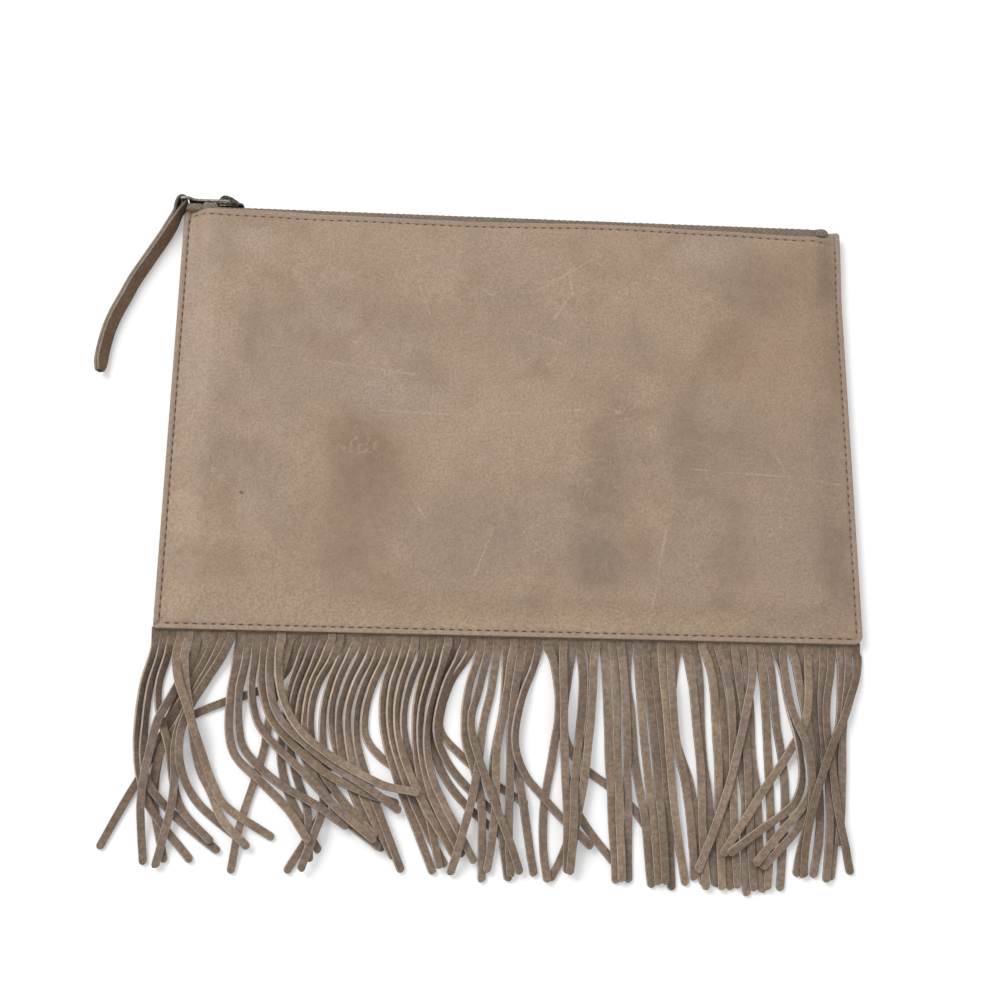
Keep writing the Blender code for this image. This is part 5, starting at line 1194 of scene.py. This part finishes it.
# For each strand its layer (0 lies lowest), its roll onto its edge in degrees, and where it lies in mm
LAY = [
    (1, 50, (-151.6, -109), (-154.8, -122), (-156, -138), (-155, -153), (-151.5, -167), (-146, -178),
     (-130, -196.5)),
    (1, 50, (-148.8, -110), (-152, -124), (-153, -140), (-152, -155), (-149, -166), (-138, -178),
     (-119, -192.5)),
    (1, 45, (-145.6, -110), (-148.5, -123), (-147.5, -134), (-142, -150), (-139.5, -164), (-135, -176),
     (-122, -189)),
    (4, 8, (-141.6, -111), (-139.8, -122), (-135.5, -133), (-128, -153), (-123, -165), (-116, -175),
     (-97, -186.5)),
    (3, 12, (-138.1, -111), (-137, -123), (-134, -136), (-130, -156), (-124, -168), (-118, -180),
     (-107, -191)),
    (2, 25, (-135.3, -112), (-142, -127), (-147, -140), (-150, -155), (-151.5, -170), (-151, -185),
     (-149.5, -198)),
    (0, 25, (-132.3, -112), (-138.5, -126), (-143.5, -139), (-146, -152), (-147, -164), (-146, -177),
     (-141, -197)),
    (0, 25, (-129.2, -111), (-137, -127), (-144.5, -143), (-151, -157.5), (-159, -173), (-168, -192)),
    (1, 25, (-125.7, -111), (-132.5, -125), (-137.5, -138), (-139.4, -150), (-139, -164), (-140, -178),
     (-144.5, -199.5)),
    (2, 25, (-122.2, -110), (-128.5, -121), (-134.5, -133), (-137.5, -146), (-136, -160), (-128.5, -173),
     (-111, -187)),
    (3, 25, (-116.6, -112), (-118, -128), (-118, -142), (-114.5, -153), (-104, -163), (-92, -174.5),
     (-82, -189)),
    (3, 30, (-112.8, -112), (-114.5, -126), (-114, -140), (-110.5, -151), (-97, -163.5), (-82, -172),
     (-66.5, -182)),
    (4, 35, (-109, -111), (-109.5, -123), (-107.5, -135), (-102.5, -144), (-87, -159), (-72, -174),
     (-55, -188)),
    (5, 30, (-105.3, -111), (-105.3, -122), (-102, -134), (-96, -143), (-79, -158.5), (-62, -167),
     (-46, -171.5)),
    (6, 22, (-102.3, -111), (-101.8, -122), (-99, -133), (-92, -142.5), (-76, -155), (-61, -164.5),
     (-45, -175)),
    (6, 30, (-98.6, -112), (-97, -125), (-92.5, -136), (-84.5, -146), (-69, -156.5), (-54, -164),
     (-37.5, -168)),
    (2, 20, (-96.6, -113), (-99, -124), (-101.5, -137), (-103, -150), (-106.5, -164), (-111, -181),
     (-114, -201)),
    (0, 20, (-93.2, -111), (-98.5, -120), (-108, -125.5), (-122, -130.5), (-136, -138), (-145, -151),
     (-149, -172)),
    (1, 45, (-90.2, -112), (-93.5, -124), (-95, -137), (-96, -149), (-94.5, -160), (-90, -172),
     (-78, -192)),
    (1, 45, (-87, -112), (-91, -124), (-92.6, -136), (-92.6, -147), (-88.5, -162), (-83.5, -176),
     (-82, -196)),
    (2, 45, (-83.4, -112), (-87.6, -124), (-89.3, -136), (-88, -148), (-80.5, -163), (-69, -177.5),
     (-53, -190.5)),
    (2, 45, (-79.8, -111), (-84.4, -122), (-86.3, -134), (-85.3, -147), (-77, -161), (-66.5, -174),
     (-55, -186)),
    (1, 45, (-76.3, -111), (-81.5, -121), (-84, -132), (-83.4, -145), (-79, -160), (-77.5, -175),
     (-85.5, -200)),
    (0, 45, (-72.7, -110), (-76.8, -121), (-79, -133), (-78.6, -146), (-76, -160), (-78, -176),
     (-91.5, -200.5)),
    (1, 45, (-69.2, -110), (-73.4, -121), (-75.6, -133), (-74, -145), (-67, -163), (-60.5, -177),
     (-52, -191)),
    (1, 45, (-64.8, -110), (-69.4, -121), (-72.2, -133), (-71.5, -145), (-68, -160), (-61, -175),
     (-53.5, -187)),
    (1, 45, (-60.8, -110), (-65.8, -121), (-68.6, -133), (-67.8, -146), (-64, -161), (-57, -177),
     (-47.5, -194)),
    (2, 45, (-57.3, -110), (-62, -121), (-64.8, -133), (-64.3, -146), (-60, -160), (-53, -178),
     (-44, -199.5)),
    (0, 40, (-53.8, -110), (-58.4, -121), (-61.2, -133), (-60.5, -144), (-53, -153), (-41, -161),
     (-31, -180)),
    (2, 40, (-49.8, -109), (-53.2, -120), (-54, -133), (-52, -146), (-47, -161), (-40, -178), (-31, -200)),
    (2, 45, (-46.2, -109), (-49.9, -120.5), (-51, -133), (-49, -146), (-43.5, -162), (-36.5, -178),
     (-26, -197)),
    (3, 45, (-42.7, -109), (-46.2, -120), (-47.9, -132), (-46.6, -145), (-41.5, -160), (-34, -175),
     (-22, -193)),
    (2, 45, (-38.6, -109), (-42.2, -119), (-44.6, -130), (-44.6, -141), (-41, -155), (-33.5, -171),
     (-18.5, -192)),
    (2, 45, (-35, -109), (-38.3, -120), (-40, -132), (-39.6, -145), (-37.5, -160), (-33, -178),
     (-28.5, -198)),
    (3, 45, (-31.5, -109), (-34.7, -119), (-37.5, -131), (-37.6, -144), (-35.4, -158), (-30.5, -173),
     (-19, -193)),
    (3, 45, (-28.6, -110), (-31.3, -121), (-34.2, -133), (-35, -146), (-32.5, -160), (-26.5, -173),
     (-14, -195.5)),
    (1, 50, (-26.3, -110), (-29.5, -121), (-32.2, -133), (-32.5, -146), (-27, -160), (-17.5, -172),
     (-3, -184)),
    (1, 50, (-22.7, -110), (-27.5, -121), (-30.5, -133), (-30.5, -144), (-24.5, -156), (-14.5, -167),
     (1, -180)),
    (0, 50, (-18.8, -109), (-24.9, -119), (-28.7, -131), (-28.9, -141), (-20, -151), (-8, -161), (8, -171)),
    (2, 30, (-14, -109), (-17.4, -121), (-19, -133), (-18.5, -145), (-14.5, -158), (-11.5, -173),
     (-11, -203)),
    (4, 25, (-9.8, -107), (-11.6, -115), (-14, -125.2), (-15.9, -131.7), (-16.3, -138.2), (-15, -145.9),
     (-12.4, -154.3), (-9.9, -161.3), (-6.7, -170.2), (-2.8, -179.8), (0.8, -188.6), (4.8, -199.7)),
    (3, 15, (-6.1, -108.8), (-7.1, -116.1), (-8.1, -123.4), (-9.8, -130.7), (-11.2, -137.8), (-12.1, -145),
     (-12.9, -153.5), (-14.4, -162.6), (-16.3, -172.3), (-18.9, -182), (-21.5, -191.6), (-24.3, -200.4)),
    (2, 25, (-1.7, -108.7), (-2, -118.2), (-2.3, -125.5), (-2.9, -131.2), (-3.9, -137.7), (-5.4, -144.8),
     (-6.4, -151.9), (-6.7, -159), (-6.1, -166.6), (-4.6, -174.9), (-2.9, -183.8), (0, -202.4)),
    (3, 15, (0.3, -110.1), (-0.8, -119.6), (-1.9, -126.9), (-2.8, -133.4), (-4.2, -140.6), (-5.3, -147.7),
     (-5.7, -155.4), (-5.8, -165.9), (-6.2, -176.3), (-7.3, -188), (-9.1, -199.2)),
    (3, 15, (3.9, -110.8), (2.2, -121.7), (1, -131.9), (0.5, -141.2), (0.4, -151.8), (0.3, -162.3),
     (0, -172.7), (-0.1, -186.5), (0.9, -201)),
    (2, 25, (7.7, -109.2), (5.6, -118.8), (3.8, -127.5), (2.4, -136.1), (1.9, -144.7), (2.7, -153.2),
     (4.4, -161.5), (6, -171.3), (7.7, -181.6), (9.1, -191.1), (10.7, -200.2)),
    (3, 35, (11.8, -106.2), (9.7, -113.6), (6.8, -120.9), (4.7, -127.5), (3.1, -134.7), (2.2, -141.8),
     (2.6, -148.2), (4.6, -154.5), (8, -160.4), (12.4, -165.6), (17.1, -171), (22.7, -177.5),
     (28.9, -183.4), (34.8, -188.5)),
    (2, 15, (18.3, -108.2), (19.7, -115.5), (20.7, -124.2), (20.7, -131.4), (20, -138.6), (18.9, -145.8),
     (17.9, -152.9), (16.7, -159.2), (15.6, -165.5), (14.7, -171.8), (14.3, -180.1), (14.5, -189.7),
     (15.4, -197.8), (16.1, -202.8)),
    (0, 30, (21.1, -107.9), (22.2, -117.4), (22.7, -128.3), (22.9, -139.8), (23.5, -149.7), (24.1, -158.2),
     (25.7, -165.9), (28.4, -172.8), (32.6, -179.6), (37.4, -186.1), (41.5, -191.1), (44.1, -194.5)),
    (3, 8, (22.7, -109.6), (22.7, -122.7), (22.8, -134.3), (23, -144.3), (23.5, -154.9), (23.9, -165.4),
     (24, -175.8), (23.9, -186.1), (24.3, -199)),
    (0, 25, (26.7, -106.3), (25.5, -113.7), (24.2, -122.5), (23.3, -129.7), (23.1, -136.9), (24.2, -144),
     (27.3, -150), (32.1, -155.1), (37, -158.8), (41.2, -161.7), (46.8, -166.2), (53, -172.3),
     (58.1, -179.9)),
    (3, 8, (31, -107.9), (31.6, -116.7), (31.4, -124), (30.6, -134.1), (29.6, -142.7), (28.5, -151.2),
     (27.6, -159.7), (26.8, -168.1), (26.5, -176.4), (26, -186), (25.2, -199.7)),
    (1, 12, (35, -107.6), (35.1, -118.6), (34.6, -128), (33.8, -136.7), (32.7, -145.3), (31.6, -155.2),
     (30.5, -163.7), (29.1, -170.7), (27, -179), (23.9, -188), (20.1, -196.2), (17.2, -201.7)),
    (2, 6, (36.3, -107.8), (35.8, -118.8), (35.2, -128.2), (34.4, -136.9), (33.3, -145.5), (32.2, -155.4),
     (30.9, -163.8), (29.4, -171.5), (27.9, -179.2), (26.5, -188.8), (25.8, -197.6)),
    (1, 4, (41.3, -107.5), (41.7, -118.4), (42.1, -129.3), (42.3, -143.7), (42.6, -157.8), (43.2, -171.8),
     (43.8, -185.6), (44.6, -202.6)),
    (2, 4, (45.2, -109.1), (45.8, -118.6), (46, -129.5), (46, -143.8), (46.2, -157.9), (46.3, -171.9),
     (46.5, -185.7), (46.8, -202.2)),
    (1, 4, (48.7, -108.8), (49.3, -118.3), (49.8, -129.2), (50, -143.5), (50.1, -157.7), (50.1, -171.7),
     (50, -185.5), (49.8, -202.2)),
    (0, 6, (51.1, -107.2), (50.7, -114.6), (51, -121.9), (52.1, -129.1), (52.7, -139.9), (53.4, -150.6),
     (54.8, -161.1), (56.4, -171.6), (57.6, -182), (58.5, -192.2), (59.5, -204.1)),
    (1, 6, (55.6, -108.6), (56, -118.1), (56.8, -130.5), (57.7, -143.4), (58.9, -157.5), (60.3, -171.5),
     (61.3, -185.3), (62.3, -203.2)),
    (2, 6, (59.3, -115), (61, -132), (62.6, -152), (64, -177), (65, -203)),
    (1, 6, (62.9, -115), (64.6, -132), (66.2, -152), (67.3, -177), (67.9, -205)),
    (2, 5, (66.2, -115), (67.4, -135), (68.5, -155), (70.3, -178), (73.8, -203)),
    (3, 8, (69.4, -114.4), (69.8, -125.3), (70.2, -136.1), (71.2, -144.7), (72.8, -152.5), (74.3, -159.5),
     (75.4, -167.9), (76.3, -178.3), (77, -190), (77.4, -200.9)),
    (1, 20, (71.9, -108.2), (70.7, -116.3), (70, -125.1), (70, -133.1), (71.1, -141.7), (73.5, -150.2),
     (76.1, -158.6), (77.8, -167.7), (79.1, -178.1), (80.2, -189.8), (81.1, -202.8)),
    (2, 5, (77.6, -108.3), (78.8, -117.8), (79.5, -127.3), (80, -135.9), (80.7, -144.5), (81.3, -153.7),
     (81.4, -162.2), (81.3, -171.3), (81.2, -181.7), (81.5, -192), (82, -204.9)),
    (1, 5, (81.4, -108), (82.2, -117.5), (82.2, -127), (82.1, -135.7), (82.4, -144.3), (82.9, -153.5),
     (84, -161.3), (84.7, -169.7), (85.1, -178), (85.5, -191.8), (86.3, -203.4)),
    (2, 5, (85.4, -106.7), (87.2, -114), (88.1, -122.7), (88.5, -132.1), (88.7, -142.9), (88.9, -153.6),
     (88.7, -164.2), (88.6, -174.6), (88.7, -185), (88.8, -204.8)),
    (1, 6, (89.2, -110), (91.4, -122.4), (91.8, -131.9), (92.1, -142.7), (92.1, -153.4), (92, -163.9),
     (92.3, -174.4), (92.5, -188.3), (92.4, -204.5)),
    (2, 6, (92.8, -110.2), (94.9, -121.1), (95.4, -132), (95.3, -142.8), (95.2, -153.5), (94.9, -167.6),
     (94.8, -181.5), (95.2, -204)),
    (1, 12, (96.4, -109.9), (97.7, -120.8), (98.2, -131.7), (98.4, -142.5), (98.8, -153.2), (99.8, -161.7),
     (100.1, -170.1), (99.4, -181.2), (99.1, -191.6), (99.2, -206.9)),
    (2, 6, (98.8, -113), (100.6, -130), (101.4, -150), (101.4, -175), (102, -205)),
    (1, 6, (102.8, -109.7), (103.6, -120.7), (103.8, -131.6), (103.7, -142.4), (104, -151.7), (105, -160.2),
     (105.4, -170.7), (105.3, -184.6), (105.6, -205.4)),
    (5, 6, (105.4, -107.9), (104.7, -116), (102.2, -126.3), (99.6, -137.2), (97.4, -145.8), (94.3, -157.2),
     (90.5, -168.5), (85.9, -180.4), (81.3, -190.7), (78.1, -197.9)),
    (2, 5, (109.1, -107.6), (110, -114.9), (110.3, -122.2), (110.5, -131.7), (110.6, -142.5),
     (110.7, -153.2), (110.8, -163.8), (110.7, -174.2), (110, -184.6), (108.8, -195), (107.6, -204.5)),
    (1, 8, (113.1, -107.2), (113.8, -114.6), (114.2, -121.9), (114.6, -129.2), (115, -136.4),
     (115.9, -143.6), (116.8, -151.5), (117.3, -158.5), (117.2, -167), (116.3, -177.5), (114.7, -191.3),
     (113.2, -204.6)),
    (4, 45, (117.2, -107.6), (118.6, -115), (119.3, -122.3), (119.8, -128.1), (120.4, -134.6),
     (121.7, -141.7), (123.4, -148.8), (124.5, -155.9), (123.8, -162.3), (120.8, -168.3), (115.8, -172.9),
     (109.6, -177.2), (102.4, -182.2), (95.8, -187.1), (91.1, -190.4)),
    (4, 8, (118.5, -106.1), (119, -113.5), (119.7, -122.2), (120.5, -129.5), (122, -136), (124.8, -142.4),
     (127, -149.5), (128, -156.5), (128, -163.6), (127.1, -171.3), (125.1, -179.7), (122.3, -189.4),
     (120.3, -198.6)),
    (3, 10, (123.8, -105.8), (124.8, -113.1), (125.8, -120.4), (126.7, -127.7), (127.5, -136.4),
     (128.5, -145), (129.1, -153.5), (128.5, -160.6), (125.9, -167), (121.4, -173.4), (115.4, -179.7),
     (108.7, -187.1), (102, -194.7)),
    (2, 15, (126.4, -113), (127.4, -127), (129.3, -142), (131.5, -154), (129, -168), (119, -182),
     (105, -196)),
    (3, 8, (129.6, -109.3), (129, -118.9), (127.9, -127), (126.4, -132.8), (124.1, -138.6), (119.5, -146.7),
     (114.8, -153.7), (108.7, -161.8), (103.8, -168.9), (99.3, -175.6), (93.7, -183.6), (89, -191)),
    (1, 10, (132.5, -113), (131.5, -128), (131.5, -145), (132, -165), (131, -182), (127.5, -199)),
    (2, 10, (135.9, -112), (134.6, -126), (134.9, -142), (136, -158), (135.4, -178), (132.5, -201)),
    (3, 10, (139.4, -111), (136.9, -124), (136.2, -137), (137.5, -153), (139, -172), (143.5, -197.5)),
    (1, 12, (144.6, -108.7), (143.8, -119.8), (142.8, -130.1), (141.5, -138.1), (140.1, -146), (139, -156),
     (138.6, -166.6), (138.3, -175), (136.8, -187.5), (134.8, -199.9)),
    (2, 12, (147.5, -108.9), (146.4, -117.8), (144.9, -125.9), (143.6, -134.6), (142.8, -143.3),
     (142, -156.1), (141.2, -166.7), (140.2, -175.8), (138.6, -185.9)),
    (5, 12, (152.2, -104.6), (151.3, -110.5), (149.5, -116.5), (146.8, -123.8), (144.1, -131.2),
     (140.1, -139.2), (136, -147.9), (132.5, -156.5), (129.8, -163.6), (127.5, -170.6), (125.6, -179.7),
     (124.2, -188.7), (123.3, -199.3)),
]


def strand_path(k):
    """A strand's line on the table, from its root at the band to its tip."""
    x = STRAND_PITCH * (k - (STRANDS - 1) / 2)
    pts = [(x, BAND_Y[0]), (x, BAND_Y[0] - 3 * MM)] + [(a * MM, b * MM) for a, b in LAY[k][2:]]
    return spline(pts, STRAND_STEPS + 1)


def strand_frames(line, roll_deg):
    """Along a strand: its direction, its width across, its thickness and its roll onto its edge."""
    n = len(line)
    d = np.zeros((n, 2))
    d[1:-1] = line[2:] - line[:-2]
    d[0] = line[1] - line[0]
    d[-1] = line[-1] - line[-2]
    d /= np.linalg.norm(d, axis=1)[:, None]
    turned = [ease(s / 0.14) * (1 - 0.6 * ease((s - 0.3) / 0.35)) for s in np.linspace(0, 1, n)]
    roll = math.radians(roll_deg) * np.array(turned)
    across = np.stack([d[:, 1] * np.cos(roll), -d[:, 0] * np.cos(roll), np.sin(roll)], axis=1)
    ahead = np.stack([d[:, 0], d[:, 1], np.zeros(n)], axis=1)
    thick = np.cross(across, ahead)
    thick *= np.sign(thick[:, 2])[:, None]
    return ahead, across, thick, roll


def lift(mid, axes, own, centres, others, sizes):
    """The least height of the middle at which a box of the strand clears the boxes near it."""
    best = np.full(len(centres), np.inf)
    rel = np.column_stack([mid[0] - centres[:, 0], mid[1] - centres[:, 1], -centres[:, 2]])
    tests = [np.broadcast_to(axes[j], (len(centres), 3)) for j in range(3)]
    tests += [others[:, j] for j in range(3)]
    tests += [np.broadcast_to(np.array([0.0, 0.0, 1.0]), (len(centres), 3))]
    tests += [np.cross(others[:, m], axes[j]) for j in range(2) for m in range(3)]
    for test in tests:
        size = np.linalg.norm(test, axis=1)
        nrm = test / np.maximum(size, 1e-9)[:, None]
        nrm = nrm * np.where(nrm[:, 2] < 0, -1.0, 1.0)[:, None]
        r = np.abs(nrm @ axes.T) @ own + np.sum(np.abs(np.einsum("ijk,ik->ij", others, nrm)) * sizes, axis=1)
        r = r + STRAND_GAP
        level = np.sum(nrm * rel, axis=1)
        never = np.where(np.abs(level) >= r, 0.0, np.inf)
        at = np.where(np.abs(nrm[:, 2]) < 0.02, never, (r - level) / np.maximum(nrm[:, 2], 0.02))
        side = np.hypot(nrm[:, 0], nrm[:, 1]) > 0.3
        at = np.where(side & (level + nrm[:, 2] * centres[:, 2] <= -r), 0.0, at)
        best = np.where(size > 0.05, np.minimum(best, at), best)
    return float(np.max(best))


def softened(z):
    """A smooth line that stays at or over z."""
    out = z.copy()
    for _ in range(5):
        soft = out.copy()
        soft[1:-1] = 0.25 * out[:-2] + 0.5 * out[1:-1] + 0.25 * out[2:]
        out = np.maximum(soft, z)
    return out


def lay_heights(lines, frames, order):
    """How high each strand's middle is, so that it lies on the table or over those laid before it."""
    heights = [None] * len(lines)
    laid = []
    hw, ht = STRAND_W / 2, STRAND_T / 2
    for k in order:
        line = lines[k]
        ax = np.stack(frames[k][:3], axis=1)
        roll = frames[k][3]
        n = len(line)
        run = np.concatenate([[0], np.cumsum(np.linalg.norm(np.diff(line, axis=0), axis=1))])
        need = hw * np.sin(roll) + ht * np.cos(roll) + TABLE_CLEAR
        mid = (line[1:] + line[:-1]) / 2
        ax_mid = (ax[1:] + ax[:-1]) / 2
        ax_mid /= np.linalg.norm(ax_mid, axis=2)[:, :, None]
        half_l = np.diff(run) / 2
        reach = 2 * float(np.max(half_l)) + 1.2 * STRAND_W
        if laid:
            c2, a2, l2 = (np.concatenate(v) for v in zip(*laid))
            for i in range(n - 1):
                near = np.where(np.hypot(*(c2[:, :2] - mid[i]).T) < reach)[0]
                if len(near):
                    own = np.array([half_l[i], hw, ht])
                    low = lift(mid[i], ax_mid[i], own, c2[near], a2[near], l2[near])
                    need[i : i + 2] = np.maximum(need[i : i + 2], low)
        z = need.copy()
        for i in range(n):
            z = np.maximum(z, need[i] - SLOPE * np.abs(run - run[i]))
        lead = softened(z)
        near = run < LEAD_IN
        lead[near] = np.maximum(lead[near], BAND_Z - SLOPE * run[near])
        lead[near] = np.minimum(lead[near], BAND_Z + ROOT_SLOPE * run[near])
        heights[k] = lead
        ax_mid[:, 0, 2] = np.diff(lead) / np.diff(run)
        ax_mid[:, 0] /= np.linalg.norm(ax_mid[:, 0], axis=1)[:, None]
        sizes = np.column_stack([half_l * 1.02, np.full(n - 1, hw), np.full(n - 1, ht)])
        laid.append((np.column_stack([mid, (lead[1:] + lead[:-1]) / 2]), ax_mid, sizes))
    return heights


suede = hide_strap("fringe_suede", SUEDE_TONES, SUEDE_CUT)
lines = [strand_path(k) for k in range(STRANDS)]
frames = [strand_frames(line, row[1]) for line, row in zip(lines, LAY)]
order = sorted(range(STRANDS), key=lambda k: (LAY[k][0], k))
heights = lay_heights(lines, frames, order)
verts, faces, cut, shades = [], [], [], []
for k, line in enumerate(lines):
    _, across, thick, _ = frames[k]
    middles = np.column_stack([line, heights[k]])
    end = middles[-1].copy()
    way = (end - middles[-2]) / np.linalg.norm(end - middles[-2])
    tone = 1.0 + 0.4 * drift(k * 1.37, 4.2, 0)
    warm = drift(k * 0.83, 9.1, 0)
    tint = [tone * (1.0 + 0.04 * warm), tone, tone * (1.0 - 0.13 * warm)]
    rings = []
    middles[0][1] += 1.5 * MM
    for i in range(STRAND_STEPS):
        a = across[i] if i > 1 else np.array([1.0, 0.0, 0.0]) * np.sign(across[2][0])
        t = thick[i] if i > 1 else np.array([0.0, 0.0, 1.0])
        half_w = DRAWN_W / 2 * (1.0 + 0.06 * drift(k * 3.1, i * 0.28, 0)) * (1.0 - 0.06 * i / STRAND_STEPS)
        rings.append(strap_ring(middles[i], a, t, half_w, DRAWN_HALF_T, STRAND_R, STRAND_CROWN))
        # Painted shade: each strand is darker at its root where it comes out from under the panels, with a
        # random tone on top.
        root = (0.82 + 0.18 * ease(i / 3)) * (1.0 + 0.1 * drift(k * 2.3, i * 0.16, 7))
        shades += [[root * c for c in tint]] * len(rings[0])
    skew = 0.5 * drift(k * 5.3, 1.1, 0)
    for back, share in TIP:
        centre = end - way * back * MM + across[-1] * skew * (1.0 - share) * DRAWN_W
        half_w = DRAWN_W / 2 * 0.94 * share
        rings.append(strap_ring(centre, across[-1], thick[-1], half_w, DRAWN_HALF_T, STRAND_R, STRAND_CROWN))
        shades += [tint] * len(rings[0])
    strap(verts, faces, cut, rings)
band = []
corners = ((BAND_Y[0], -1), (BAND_Y[0], 1), (BAND_Y[1], 1), (BAND_Y[1], -1))
for x in np.linspace(-HALF_W + 0.2 * MM, HALF_W - 0.2 * MM, BAND_RINGS):
    band.append([Vector((x, y, BAND_Z + side * STRAND_T / 2)) for y, side in corners])
ring_box(verts, faces, band)
# Painted shade: the band between the panels is darkened.
shades += [[0.8, 0.8, 0.8]] * (BAND_RINGS * len(corners))
fringe_piece = piece("fringe_suede", verts, faces, suede, "pouch", ["fringe"])
shaded(fringe_piece, cut, shades)

# Floor, light and camera: a white table under soft light from the upper left.
# The floor and the sky look brighter to the camera than to the bag, so that the table stays white.
FLOOR_HALF = 3.0
FLOOR_Z = -0.0002
FLOOR_GLOW = 0.24
SKY = 0.60


def seen_directly(tree):
    """1 for the rays from the camera, also by way of a mirror or glass, and 0 for those that light the bag."""
    rays = place(tree, "LightPath", {})
    own = reckon(tree, "ADD", rays["Is Camera Ray"], rays["Is Glossy Ray"])
    return reckon(tree, "ADD", own, rays["Is Transmission Ray"], capped=True)


floor_finish, tree, skin, spot = finish_of("table_top", 0.9)
skin.inputs["Base Color"].default_value = (0.93, 0.93, 0.93, 1)
skin.inputs["Specular IOR Level"].default_value = 0.0
strength = reckon(tree, "MULTIPLY", seen_directly(tree), FLOOR_GLOW)
glow = place(tree, "Emission", {"Color": (1, 1, 1, 1), "Strength": strength})
total = place(tree, "AddShader", {0: skin.outputs[0], 1: glow[0]})
tree.links.new(total[0], tree.nodes["Material Output"].inputs["Surface"])
R = FLOOR_HALF
floor_mesh = bpy.data.meshes.new("floor")
floor_mesh.from_pydata([(-R, -R, 0), (R, -R, 0), (R, R, 0), (-R, R, 0)], [], [(0, 1, 2, 3)])
floor_mesh.materials.append(floor_finish)
floor = shown("floor", floor_mesh)
floor.location.z = FLOOR_Z

world = bpy.data.worlds.new("studio")
bpy.context.scene.world = world
world.use_nodes = True
sky = world.node_tree.nodes["Background"]
sky.inputs["Color"].default_value = (1, 1, 1, 1)
strength = ranged(world.node_tree, seen_directly(world.node_tree), 0.0, 1.0, SKY, 1.0)
world.node_tree.links.new(strength, sky.inputs["Strength"])

KEY_AT = Vector((-1.8, 1.2, 2.4))
KEY_TARGET = Vector((0, -0.05, 0))
light = bpy.data.lights.new("key_light", "AREA")
light.shape = "SQUARE"
light.size = 1.6
light.energy = 56
lamp = shown("key_light", light)
lamp.location = KEY_AT
lamp.rotation_euler = (KEY_TARGET - KEY_AT).to_track_quat("-Z", "Y").to_euler()

CAMERA_AT = Vector((-0.04767, -0.27922, 0.70767))
CAMERA_AHEAD = Vector((0.05727, 0.32458, -0.94412))
CAMERA_UP = Vector((-0.02845, 0.94582, 0.32344))
camera_data = bpy.data.cameras.new("camera")
camera_data.lens = 60.66
camera_data.sensor_width = 36.0
camera_data.clip_start = 0.01
camera = shown("camera", camera_data)
right = CAMERA_AHEAD.cross(CAMERA_UP).normalized()
up = right.cross(CAMERA_AHEAD).normalized()
back = -CAMERA_AHEAD.normalized()
camera.matrix_world = Matrix.Translation(CAMERA_AT) @ Matrix((right, up, back)).transposed().to_4x4()
bpy.context.scene.camera = camera
bpy.context.scene.view_settings.view_transform = "Standard"
